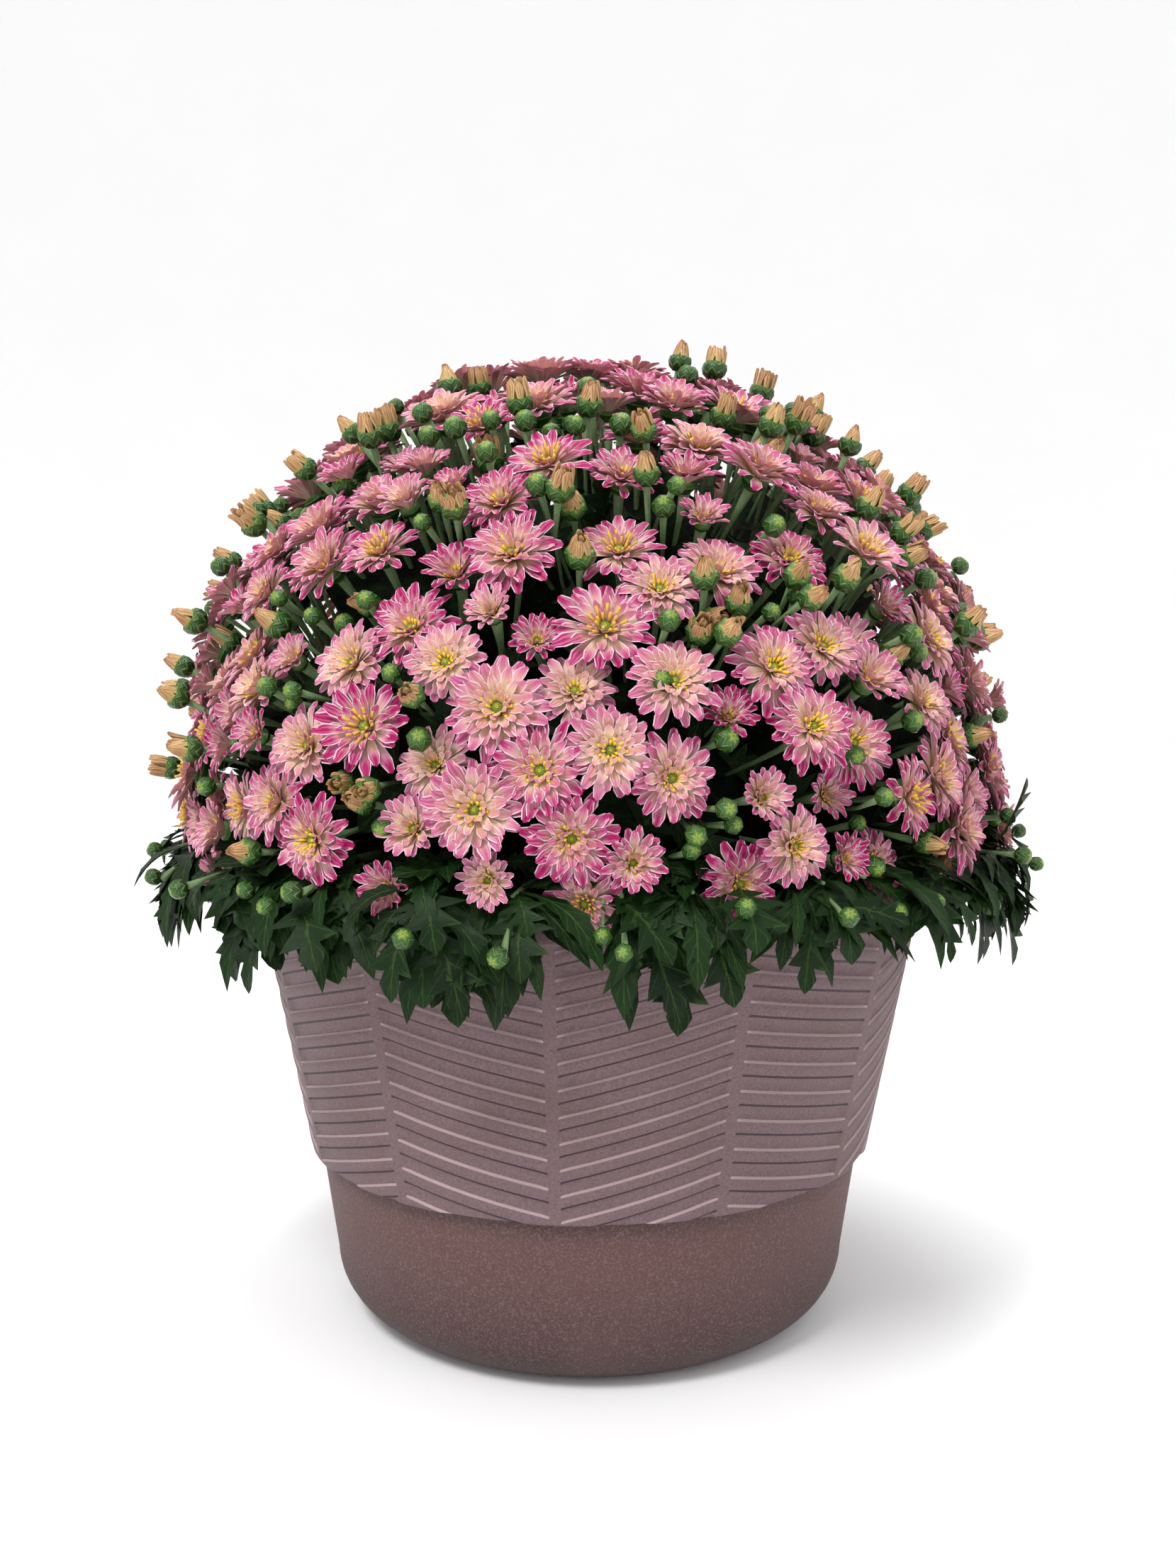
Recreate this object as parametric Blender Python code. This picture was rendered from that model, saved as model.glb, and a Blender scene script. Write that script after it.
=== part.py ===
"""Pot chrysanthemum in a herringbone planter: Blender 4.5, metres, +Z up, origin under the pot's centre."""

import math
import random

import bmesh
import bpy
import numpy as np
from mathutils import Matrix, Vector
from mathutils.bvhtree import BVHTree

# Planter
LIP_TOP = 0.218
LIP_RADIUS = 0.178
LIP_HEIGHT = 0.013
LIP_EDGE = 0.003
BAND_TOP_RADIUS = 0.157
BAND_FOOT = 0.081
BAND_FOOT_RADIUS = 0.1335
STEP_IN = 0.0045
BASE_ARC = 0.030
BASE_ARC_TURNS = (0, 35, 65, 90)
BASE_ARC_TOP_RADIUS = 0.1215
FOOT_RING = 0.012
FOOT_BEVEL = 0.003
FOOT_RECESS = 0.002
WALL = 0.0045
FLOOR = 0.005
DRAIN_HOLES = 5
DRAIN_RADIUS = 0.006
DRAIN_CIRCLE = 0.055

# Herringbone band: bars rise and fall by BAR_RISE, from a low spine to a high one and back
PANELS = 12
SPINE_TURN = math.radians(-6.0)
BAR_PITCH = 0.0135
BAR_SHARE = 0.48
BAR_RISE = 0.0165
RELIEF = 0.0011

# Potting mix, and the stems that stand in its holes
MIX_TOP = 0.190
MIX_SLACK = 0.0003
HOLE_DEPTH = 0.024
HOLE_SLACK = 0.0022
STEM_RADIUS = 0.0026
SEAT = 0.0003

# Leafy stems: number, lean and turn in degrees of each ring of them round the centre one
RINGS = ((5, 22.0, 20.0), (10, 43.0, 9.0))
# For the centre and each ring: a stem's distance from the axis at foot, bend and fork, and the last two's heights
ROUTES = ((0, 0, 0, 0.240, 0.325), (0.028, 0.045, 0.066, 0.240, 0.300), (0.086, 0.100, 0.114, 0.225, 0.262))
STEM_APEX = Vector((0, 0, 0.120))
CELL_GAP = 0.0006

# Each stem's dense leafy middle
CORE_RADIUS = 0.150
CORE_FLOOR = 0.2225
CORE_GAP = 0.0012
CORE_REACH = 0.128
CORE_STEP = 0.0003

# Dome of blooms
SEED = 11
DOME = Vector((0, 0, 0.250))
DOME_RADIUS = 0.183
LOWEST_BLOOM = 0.233
BLOOMS = 152
SPRAYS = 40
BLOOM_RADIUS = 0.0172
BLOOM_SPREAD = 0.0016
YOUNG_SHARE = 0.13
YOUNG_SIZE = 0.82
YOUNG_OPEN = 0.45
BLOOM_GAP = 0.0012
SPRAY_GAP = 0.0032
LINK_REACH = 0.775

# A bloom's points as shares of its radius: (out, up) when flat, then what a closed cup adds to them
PETALS = 5
TIP = ((1.0, 0.0), (-0.2, 0.6))
NOTCH = ((0.73, -0.10), (-0.1, 0.25))
INNER_TIP = ((0.66, 0.27), (0.0, 0.35))
INNER_NOTCH = ((0.40, 0.10), (0.0, 0.0))
EYE = 0.16
BLOOM_DEPTH = 0.34
# Where a bloom's petal runs into its neighbour: shares out and up in the neighbour, then in the bloom itself
MEET_OUT, MEET_UP = 0.68, 0.36
REACH_OUT, REACH_CUP, REACH_UP = 0.86, 0.1, 0.45

# Flower stalks, side shoots, leaves and buds
STALK_RADII = (0.0018, 0.0013, 0.0013, 0.0042)
STALK_BENDS = ((0.026, 0.25), (0.020, 0.1), (0.034, 0.2), (0.014, 0.05))
STALK_CLEAR = 0.0024
SHOOT_TURNS = (-7.5, 8.0)
SHOOT_NUDGES = (0.0, 2.0, -2.0, 4.0, -4.0, 6.0, -6.0)
SHOOT_SPOTS = ((0.158, 0.2310), (0.1815, 0.2265))
SHOOT_RADII = (0.0019, 0.0016, 0.0012)
SHOOT_ROOM = 0.004
LOBED = ((0.035, 0.0), (0.40, 0.38), (0.18, 0.52), (0.42, 0.72))
LANCE = ((0.035, 0.0), (0.14, 0.5))
LEAF_MIDDLE = 0.55
LEAF_FOLD = 0.25
LEAF_CLEAR = 0.0018
LEAF_SPACING = 0.020
BLADE_HALF = 0.0007
SKIRT_LEAVES = 2
STALK_LEAF_SHARE = 0.7
TRIES = 70
BUD_STALK = (0.0011, 0.0014)
HALF_OPEN_SHARE = 0.25
HALF_OPEN_RADIUS = 0.0056
BUD_REACH = (0.183, 0.193)
BUD_STALK_LIMIT = 0.085
BUD_SPACING = 0.015
BUD_LOWEST = LIP_TOP + 0.012

SCRAP_FACES = 12
FLAT_ANGLE = math.radians(0.6)
UP = Vector((0, 0, 1))


def plan_cells():
    """Directions from the stems' apex, one a leafy stem: a centre one, an inner ring and an outer ring."""
    cells = [UP.copy()]
    for count, lean, turn in RINGS:
        away = math.radians(lean)
        for k in range(count):
            around = math.radians(turn + 360.0 * k / count)
            flat = Vector((math.sin(around), -math.cos(around), 0))
            cells.append(flat * math.sin(away) + UP * math.cos(away))
    return cells


def ring_of(k):
    """0 for the centre stem, 1 for the inner ring and 2 for the outer one."""
    return 0 if k == 0 else 1 if k <= RINGS[0][0] else 2


def cell_margin(point, k, cells):
    """Distance from the point to the nearest side of cell k, negative outside it."""
    offset = point - STEM_APEX
    others = [other for j, other in enumerate(cells) if j != k]
    return min(offset.dot(cells[k] - other) / (cells[k] - other).length for other in others)


def scatter(draw):
    """A vector with each part drawn between -1 and 1."""
    return Vector([draw.uniform(-1, 1) for _ in range(3)])


def spiral(count, lowest):
    """Evenly spread directions on the dome, from its top down to the given height share."""
    golden = math.pi * (3 - math.sqrt(5))
    found = []
    for i in range(count):
        z = 1 - (1 - lowest) * (i + 0.5) / count
        flat = math.sqrt(1 - z * z)
        found.append((flat * math.sin(golden * i), -flat * math.cos(golden * i), z))
    return np.array(found)


def spray_links(members, points):
    """The members of a spray as a tree, each with the bloom it grows beside, nearest first."""
    centre = points[members].mean(axis=0)
    root = min(members, key=lambda i: np.linalg.norm(points[i] - centre))
    links, waiting = [(root, None)], [i for i in members if i != root]
    while waiting:
        pairs = [(i, j) for i in waiting for j, _ in links]
        child, parent = min(pairs, key=lambda pair: np.linalg.norm(points[pair[0]] - points[pair[1]]))
        links.append((child, parent))
        waiting.remove(child)
    return links


def spread_blooms(points, radii, group, links):
    """Moves blooms over the dome until linked ones touch and all others keep clear of each other."""
    same = group[:, None] == group[None, :]
    reach = radii[:, None] + radii[None, :]
    linked = np.zeros(same.shape, bool)
    for spray in links:
        for child, parent in spray[1:]:
            linked[child, parent] = linked[parent, child] = True
    want = np.where(linked, LINK_REACH * reach, reach + np.where(same, BLOOM_GAP, SPRAY_GAP))
    lowest = (LOWEST_BLOOM - DOME.z) / DOME_RADIUS
    for _ in range(200):
        apart = points[:, None] - points[None, :]
        distance = np.linalg.norm(apart, axis=2) + np.eye(len(points))
        push = np.clip(want - distance, 0, None)
        np.fill_diagonal(push, 0)
        pull = np.where(linked, np.clip(distance - want, 0, None), 0)
        points = points + ((0.3 * (push - pull) / distance)[:, :, None] * apart).sum(axis=1)
        points = points / np.linalg.norm(points, axis=1)[:, None]
        points[:, 2] = np.maximum(points[:, 2], lowest)
        points = points / np.linalg.norm(points, axis=1)[:, None] * DOME_RADIUS
    return points


def place_beside(place, points, i, other):
    """Where a bloom sits so that one of its petals runs into its neighbour's, and which way that petal points."""
    away = Vector(points[i] - points[other["index"]])
    away = (away - other["axis"] * away.dot(other["axis"])).normalized()
    meeting = other["centre"] + away * (MEET_OUT * other["radius"])
    meeting += other["axis"] * (MEET_UP * (1 - other["open"]) * other["radius"])
    axis, radius, cup = place["axis"], place["radius"], 1 - place["open"]
    toward = (-away + axis * away.dot(axis)).normalized()
    return meeting - toward * ((REACH_OUT - REACH_CUP * cup) * radius) - axis * (REACH_UP * cup * radius), toward


def plan_blooms(draw):
    """Every bloom as a dict: where and how it sits, how open it is, its spray and the petal that meets its neighbour."""
    lowest = (LOWEST_BLOOM - DOME.z) / DOME_RADIUS
    directions = spiral(BLOOMS, lowest)
    hubs = spiral(SPRAYS, lowest + 0.12)
    group = np.array([int(np.argmax(hubs @ direction)) for direction in directions])
    radii = np.array([BLOOM_RADIUS + draw.uniform(-1, 1) * BLOOM_SPREAD for _ in directions])
    young = np.array([draw.random() < YOUNG_SHARE for _ in directions])
    radii = np.where(young, radii * YOUNG_SIZE, radii)
    points = directions * DOME_RADIUS
    links = [spray_links([i for i in range(BLOOMS) if group[i] == spray], points) for spray in range(SPRAYS)]
    points = spread_blooms(points, radii, group, links)
    blooms = [None] * BLOOMS
    for spray in range(SPRAYS):
        lift = draw.uniform(-0.003, 0.004)
        lean = Vector((draw.uniform(-0.16, 0.16), draw.uniform(-0.16, 0.16), draw.uniform(0.0, 0.3)))
        for i, parent in links[spray]:
            outward = Vector(points[i]).normalized()
            bloom = {
                "index": i,
                "spray": spray,
                "axis": (outward + lean + scatter(draw) * 0.1).normalized(),
                "radius": float(radii[i]),
                "open": YOUNG_OPEN if young[i] else draw.uniform(0.8, 1.0),
            }
            if parent is None:
                bloom["centre"], bloom["toward"] = DOME + outward * (DOME_RADIUS + lift), UP
            else:
                bloom["centre"], bloom["toward"] = place_beside(bloom, points, i, blooms[parent])
            blooms[i] = bloom
    return blooms


def inside_bloom(point, bloom, margin):
    """Whether the point is within the margin of the short round space that a bloom takes up."""
    offset = point - bloom["centre"]
    height = offset.dot(bloom["axis"])
    across = (offset - bloom["axis"] * height).length
    radius = bloom["radius"]
    top = (0.34 + 0.5 * (1 - bloom["open"])) * radius
    return across < radius + margin and -(BLOOM_DEPTH + 0.02) * radius - margin < height < top + margin


def bloom_point(spot, cup, around):
    """A point of a bloom of radius 1, from its shares when flat and what a closed cup adds."""
    (out, up), (out_cup, up_cup) = spot
    out, up = out + out_cup * cup, up + up_cup * cup
    return Vector((out * math.cos(around), out * math.sin(around), up))


def bloom_mesh(bloom):
    """Two layers of petals in one body: a cone frustum whose rings become their tips and notches."""
    cup, radius, side = 1 - bloom["open"], bloom["radius"], math.pi / PETALS
    bm = bmesh.new()
    bmesh.ops.create_cone(bm, cap_ends=True, cap_tris=True, segments=2 * PETALS, radius1=1, radius2=0.5, depth=1)
    for vert in bm.verts:
        upper = vert.co.z > 0
        if math.hypot(vert.co.x, vert.co.y) < 0.01:
            vert.co = Vector((0, 0, EYE if upper else -BLOOM_DEPTH))
            continue
        turn = round(math.atan2(vert.co.y, vert.co.x) / side + 0.25)
        spots = (INNER_NOTCH, INNER_TIP) if upper else (TIP, NOTCH)
        vert.co = bloom_point(spots[turn % 2], cup, turn * side)
    for face in [f for f in bm.faces if len(f.verts) == 4]:
        high = max(face.verts, key=lambda v: v.co.z)
        far = max(face.verts, key=lambda v: v.co.xy.length)
        bmesh.utils.face_split(face, high, far)
    side_way = bloom["axis"].cross(bloom["toward"]).normalized()
    place = Matrix((side_way.cross(bloom["axis"]), side_way, bloom["axis"])).transposed().to_4x4()
    place.translation = bloom["centre"]
    bmesh.ops.transform(bm, matrix=place @ Matrix.Diagonal((radius, radius, radius, 1)), verts=bm.verts)
    return bm


def tube(path, radii, sides):
    """A closed tube through the points, with a radius at each: a prism cut at each point and bent onto the path."""
    bm = bmesh.new()
    spans = len(path) - 1
    bmesh.ops.create_cone(bm, cap_ends=True, segments=sides, radius1=1, radius2=1, depth=spans)
    bmesh.ops.translate(bm, vec=(0, 0, spans / 2), verts=bm.verts)
    for k in range(1, spans):
        geom = list(bm.verts) + list(bm.edges) + list(bm.faces)
        bmesh.ops.bisect_plane(bm, geom=geom, plane_co=(0, 0, k), plane_no=(0, 0, 1))
    frames, side = [], None
    for k, point in enumerate(path):
        ahead = (path[min(k + 1, spans)] - path[max(k - 1, 0)]).normalized()
        side = (ahead.orthogonal() if side is None else side - ahead * side.dot(ahead)).normalized()
        frames.append((side, ahead.cross(side)))
    for vert in bm.verts:
        k = round(vert.co.z)
        across, up = frames[k]
        vert.co = path[k] + radii[k] * (vert.co.x * across + vert.co.y * up)
    return bm


def leaf_outline(leaf):
    """The leaf's outline as (across, along) shares of its length, from the tip round to the tip."""
    half = LOBED if leaf["lobed"] else LANCE
    return [(0, 1)] + [(x, y) for x, y in reversed(half)] + [(-x, y) for x, y in half]


def leaf_point(leaf, across, along, rise=0.0):
    """A point of the leaf: along its drooping midrib, out across it and up from its folded face."""
    start, end, length = leaf["start_way"], leaf["end_way"], leaf["length"]
    centre = leaf["base"] + length * (start * along + (end - start) * (along * along / 2))
    ahead = (start + (end - start) * along).normalized()
    side = ahead.cross(leaf["up"]).normalized()
    face = side.cross(ahead)
    return centre + side * (across * length) + face * (LEAF_FOLD * abs(across) * length + rise)


def leaf_mesh(leaf):
    """A folded blade with a thick midrib: a flat ball of triangles whose ring becomes the lobed outline."""
    outline = leaf_outline(leaf)
    bm = bmesh.new()
    bmesh.ops.create_uvsphere(bm, u_segments=len(outline), v_segments=2, radius=1)
    ring = [v for v in bm.verts if abs(v.co.z) < 0.5]
    ring.sort(key=lambda v: math.atan2(v.co.y, v.co.x))
    poles = [v for v in bm.verts if abs(v.co.z) > 0.5]
    foot = {ring[len(outline) // 2], ring[len(outline) // 2 + 1]}
    ends = [face for face in bm.faces if foot <= set(face.verts)]
    for pole in poles:
        pole.co = leaf_point(leaf, 0, LEAF_MIDDLE, math.copysign(BLADE_HALF, pole.co.z))
    for vert, (across, along) in zip(ring, outline):
        vert.co = leaf_point(leaf, across, along)
    middle = leaf_point(leaf, 0, LEAF_MIDDLE)
    for end in ends:
        upper = any(v in end.verts and (v.co - middle).dot(leaf["up"]) > 0 for v in poles)
        made = bmesh.ops.poke(bm, faces=[end])["verts"][0]
        made.co = leaf_point(leaf, 0, 0, BLADE_HALF if upper else -BLADE_HALF)
    return bm


def leaf_clear(leaf, k, cells, blooms):
    """Whether the whole blade stays in its stem's cell, and off the blooms and the pot."""
    inner = [(x * 0.6, LEAF_MIDDLE + (y - LEAF_MIDDLE) * 0.6) for x, y in leaf_outline(leaf)]
    marks = leaf_outline(leaf) + inner + [(0, LEAF_MIDDLE), (0, 0.3)]
    points = [leaf_point(leaf, x, y) for x, y in marks]
    if min(cell_margin(point, k, cells) for point in points) < CELL_GAP:
        return False
    if not all(off_pot(point) for point in points):
        return False
    near = [b for b in blooms if (b["centre"] - points[-2]).length < 0.055]
    return not any(inside_bloom(point, bloom, LEAF_CLEAR) for point in points for bloom in near)


def off_pot(point):
    """Whether a point is clear of the pot's lip and wall and of the mix."""
    out = math.hypot(point.x, point.y)
    over_rim = out > BAND_TOP_RADIUS - 0.017
    return out > LIP_RADIUS + 0.003 or point.z > (LIP_TOP + 0.0025 if over_rim else MIX_TOP + 0.004)


def plan_stems(cells):
    """Each leafy stem's main route, from its hole in the mix to its fork."""
    stems = []
    for k, cell in enumerate(cells):
        flat = Vector((cell.x, cell.y, 0)).normalized()
        foot, bend, fork, bend_height, fork_height = ROUTES[ring_of(k)]
        path = [flat * foot + UP * z for z in (MIX_TOP - HOLE_DEPTH + SEAT, MIX_TOP + 0.004)]
        stems.append(path + [flat * bend + UP * bend_height, flat * fork + UP * fork_height])
    return stems


def bloom_seat(bloom):
    """Where a flower stalk ends: just under the bloom's base."""
    return bloom["centre"] - bloom["axis"] * (BLOOM_DEPTH * bloom["radius"] + SEAT)


def core_room(point, k, cells):
    """Distance by which a point is inside the room for a stem's leafy middle, negative outside it."""
    in_dome = CORE_RADIUS - (point - DOME).length
    return min(cell_margin(point, k, cells) - CORE_GAP, in_dome, point.z - CORE_FLOOR)


def core_surface(core, middle, way):
    """A point a little under the leafy middle's skin, straight out from its centre."""
    return core.ray_cast(middle, way)[0] - way * 0.003


def core_mesh(k, cells, middle):
    """A stem's dense leafy middle: a faceted ball swelled until it nearly fills the room for it."""
    bm = bmesh.new()
    bmesh.ops.create_icosphere(bm, subdivisions=1, radius=1)
    for vert in bm.verts:
        way, reach, step = vert.co.normalized(), 0.0, CORE_REACH
        while step > CORE_STEP:
            step /= 2
            if core_room(middle + way * (reach + step), k, cells) > 0:
                reach += step
        vert.co = middle + way * reach
    return bm


def way_clear(path, blooms, skip=None):
    """Whether a thin stalk along the path keeps off every bloom but the one it carries."""
    marks = [first.lerp(second, t / 6) for first, second in zip(path, path[1:]) for t in range(7)]
    near = [b for b in blooms if b is not skip and (b["centre"] - path[-1]).length < 0.12]
    return not any(inside_bloom(mark, b, STALK_CLEAR) for mark in marks for b in near)


def plan_stalks(draw, cells, blooms, stems):
    """One flower stalk for each spray, to the bloom that lies best inside a cell: (cell, path)."""
    stalks = []
    for spray in range(SPRAYS):
        members = [b for b in blooms if b["spray"] == spray]
        seats = [bloom_seat(b) for b in members]
        choices = [(cell_margin(s, k, cells), k, i) for i, s in enumerate(seats) for k in range(len(cells))]
        _, k, pick = max(choices)
        bloom, seat = members[pick], seats[pick]
        fork = stems[k][-2].lerp(stems[k][-1], draw.uniform(0.86, 0.95))
        for drop, share in STALK_BENDS:
            path = [fork, (seat - bloom["axis"] * drop).lerp(fork, share), seat]
            if way_clear(path, blooms, bloom):
                break
        stalks.append((k, path))
    return stalks


def plan_shoots(cells, stems, blooms):
    """Low side shoots of the outer stems, which carry the leaves that hang over the lip: (cell, path)."""
    shoots = []
    for k, cell in enumerate(cells):
        if ring_of(k) < 2:
            continue
        around = math.atan2(cell.x, -cell.y)
        for turn in SHOOT_TURNS:
            for nudge in SHOOT_NUDGES:
                way = around + math.radians(turn + nudge)
                flat = Vector((math.sin(way), -math.cos(way), 0))
                path = [stems[k][-2].lerp(stems[k][-1], 0.3)] + [flat * out + UP * z for out, z in SHOOT_SPOTS]
                inside = min(cell_margin(point, k, cells) for point in path) > SHOOT_ROOM
                if inside and way_clear(path, blooms):
                    shoots.append((k, path))
                    break
    return shoots


def skirt_leaf(draw, path, found):
    """A leaf that arches out from a side shoot and hangs over the lip."""
    outward = Vector((path[-1].x, path[-1].y, 0)).normalized()
    sideways = outward.cross(UP)
    turn = draw.uniform(-1.0, 1.0)
    return {
        "start_way": (outward + sideways * turn * 0.9 + UP * draw.uniform(-0.3, 0.2)).normalized(),
        "end_way": (outward * draw.uniform(-0.1, 0.5) + sideways * turn * 0.6 - UP).normalized(),
        "base": path[1].lerp(path[2], 0.92 - 0.37 * found),
        "up": (outward * 0.6 + UP).normalized(),
        "length": draw.uniform(0.038, 0.050),
        "lobed": draw.random() < 0.6,
    }


def inner_leaf(draw, core, path):
    """A leaf that stands out of the leafy middle, beside a flower stalk."""
    outward = ((path[1] - DOME).normalized() + scatter(draw) * 0.5).normalized()
    start = (outward + scatter(draw)).normalized()
    return {
        "start_way": start,
        "end_way": (start + outward * 0.3 - UP * 0.4).normalized(),
        "base": core_surface(core, path[0], outward),
        "up": (outward + UP * 0.5).normalized(),
        "length": draw.uniform(0.036, 0.046),
        "lobed": draw.random() < 0.7,
    }


def plan_leaves(draw, cells, cores, blooms, stalks, shoots):
    """Leaves at seeded places on the shoots and beside the stalks, kept where the whole blade is clear."""
    leaves = []
    for k, path in shoots:
        found = 0
        for _ in range(TRIES):
            leaf = {"cell": k, **skirt_leaf(draw, path, found)}
            if found < SKIRT_LEAVES and leaf_clear(leaf, k, cells, blooms):
                leaves.append(leaf)
                found += 1
    for k, path in stalks:
        waiting = draw.random() < STALK_LEAF_SHARE
        for _ in range(TRIES):
            leaf = {"cell": k, **inner_leaf(draw, cores[k], path)}
            middle = leaf_point(leaf, 0, LEAF_MIDDLE)
            crowded = any((middle - leaf_point(o, 0, LEAF_MIDDLE)).length < LEAF_SPACING for o in leaves)
            if waiting and not crowded and leaf_clear(leaf, k, cells, blooms):
                leaves.append(leaf)
                waiting = False
    return leaves


def draw_bud(draw, core, path):
    """A bud on its own stalk, which stands out to the dome of blooms: where it starts, ends and how big it is."""
    outward = ((path[1] - DOME).normalized() + scatter(draw) * 0.5).normalized()
    base = core_surface(core, path[0], outward)
    way = ((base - DOME).normalized() + scatter(draw) * 0.45).normalized()
    half_open = draw.random() < HALF_OPEN_SHARE
    radius = HALF_OPEN_RADIUS if half_open else draw.uniform(0.0040, 0.0050)
    reach, offset = draw.uniform(*BUD_REACH), base - DOME
    along = offset.dot(way)
    length = math.sqrt(along * along - offset.length_squared + reach * reach) - along
    tip = base + way * length
    return {"base": base, "tip": tip, "way": way, "radius": radius, "half_open": half_open, "length": length}


def bud_clear(bud, k, cells, blooms, buds):
    """Whether a bud and its stalk stay in their cell, over the pot, and off the blooms and other buds."""
    radius = bud["radius"]
    marks = [bud["base"].lerp(bud["tip"], t) for t in (0.3, 0.5, 0.65, 0.8, 0.9, 1.0)]
    marks.append(bud["tip"] + bud["way"] * radius)
    if bud["length"] > BUD_STALK_LIMIT or min(mark.z for mark in marks) < BUD_LOWEST:
        return False
    if min(cell_margin(mark, k, cells) for mark in marks) < radius + CELL_GAP:
        return False
    if any((bud["tip"] - other["tip"]).length < BUD_SPACING for other in buds):
        return False
    near = [b for b in blooms if (b["centre"] - bud["tip"]).length < 0.08]
    margins = [0.0022] * 4 + [radius + 0.0008] * 3
    return not any(inside_bloom(mark, b, margin) for mark, margin in zip(marks, margins) for b in near)


def plan_buds(draw, cells, cores, blooms, stalks):
    """Buds on their own stalks, standing out between the blooms, one beside each flower stalk with room for it."""
    buds = []
    for k, path in stalks:
        for _ in range(TRIES):
            bud = {"cell": k, **draw_bud(draw, cores[k], path)}
            if bud_clear(bud, k, cells, blooms, buds):
                buds.append(bud)
                break
    return buds


def bud_mesh(bud):
    """A thin stalk that swells into a round bud, or a taller one where it is half open."""
    radius, way = bud["radius"], bud["way"]
    tall, brim = (1.7, 0.7) if bud["half_open"] else (1.0, 0.3)
    path = [bud["base"], bud["tip"] - way * radius, bud["tip"], bud["tip"] + way * (radius * tall)]
    return tube(path, [*BUD_STALK, radius, radius * brim], 3)


def stem_pieces(k, cells, stems, stalks, shoots, leaves, buds):
    """All that grows from one leafy stem, as separate meshes."""
    pieces = [core_mesh(k, cells, stems[k][-1]), tube(stems[k], [STEM_RADIUS] * 2 + [0.9 * STEM_RADIUS] * 2, 4)]
    for path in [path for cell, path in stalks if cell == k]:
        under_bloom = path[-1].lerp(path[-2], 0.2)
        pieces.append(tube(path[:-1] + [under_bloom, path[-1]], STALK_RADII, 3))
    pieces += [tube(path, SHOOT_RADII, 3) for cell, path in shoots if cell == k]
    pieces += [leaf_mesh(leaf) for leaf in leaves if leaf["cell"] == k]
    return pieces + [bud_mesh(bud) for bud in buds if bud["cell"] == k]


def wall_radius(height):
    """The outer wall's radius in the band, at a height."""
    share = (height - BAND_FOOT) / (LIP_TOP - LIP_HEIGHT - BAND_FOOT)
    return BAND_FOOT_RADIUS + (BAND_TOP_RADIUS - BAND_FOOT_RADIUS) * share


def outer_profile():
    """The pot's outside as a solid, from its top centre down to the middle of its foot."""
    lip_foot = LIP_TOP - LIP_HEIGHT
    profile = [(0, LIP_TOP), (LIP_RADIUS - LIP_EDGE, LIP_TOP), (LIP_RADIUS, LIP_TOP - LIP_EDGE), (LIP_RADIUS, lip_foot)]
    profile += [(wall_radius(lip_foot) - RELIEF, lip_foot), (BAND_FOOT_RADIUS - STEP_IN, BAND_FOOT)]
    arc_centre = BASE_ARC_TOP_RADIUS - BASE_ARC
    for turn in BASE_ARC_TURNS:
        angle = math.radians(turn)
        profile.append((arc_centre + BASE_ARC * math.cos(angle), BASE_ARC * (1 - math.sin(angle))))
    ring = arc_centre - FOOT_RING
    return profile + [(ring, 0), (ring - FOOT_BEVEL, FOOT_RECESS), (0, FOOT_RECESS)]


def cavity_radius(height):
    """The radius of the pot's inside at a height above the rounded base."""
    low, high = BAND_FOOT_RADIUS - STEP_IN - WALL, BAND_TOP_RADIUS - WALL
    return low + (high - low) * (height - BAND_FOOT) / (LIP_TOP - LIP_HEIGHT - BAND_FOOT)


def cavity_profile(slack, top):
    """The space inside the pot, up to a height, drawn in by some slack."""
    low = BASE_ARC_TOP_RADIUS - BASE_ARC + 0.004
    walls = [(cavity_radius(top), top), (cavity_radius(BAND_FOOT), BAND_FOOT), (BASE_ARC_TOP_RADIUS - WALL, BASE_ARC)]
    profile = [(0, top)] + [(radius - slack, height) for radius, height in walls]
    return profile + [(low - slack, FLOOR + slack), (0, FLOOR + slack)]


def turned(profile):
    """A closed solid turned from a profile that starts and ends on the axis."""
    bm = bmesh.new()
    verts = [bm.verts.new((radius, 0, height)) for radius, height in profile]
    geom = verts + [bm.edges.new(pair) for pair in zip(verts, verts[1:])]
    bmesh.ops.spin(bm, geom=geom, axis=UP, angle=math.tau, steps=2 * PANELS, use_merge=True)
    bmesh.ops.remove_doubles(bm, verts=bm.verts, dist=0.00001)
    bmesh.ops.rotate(bm, verts=bm.verts, matrix=Matrix.Rotation(SPINE_TURN - math.pi / 2, 3, "Z"))
    return bm


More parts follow.
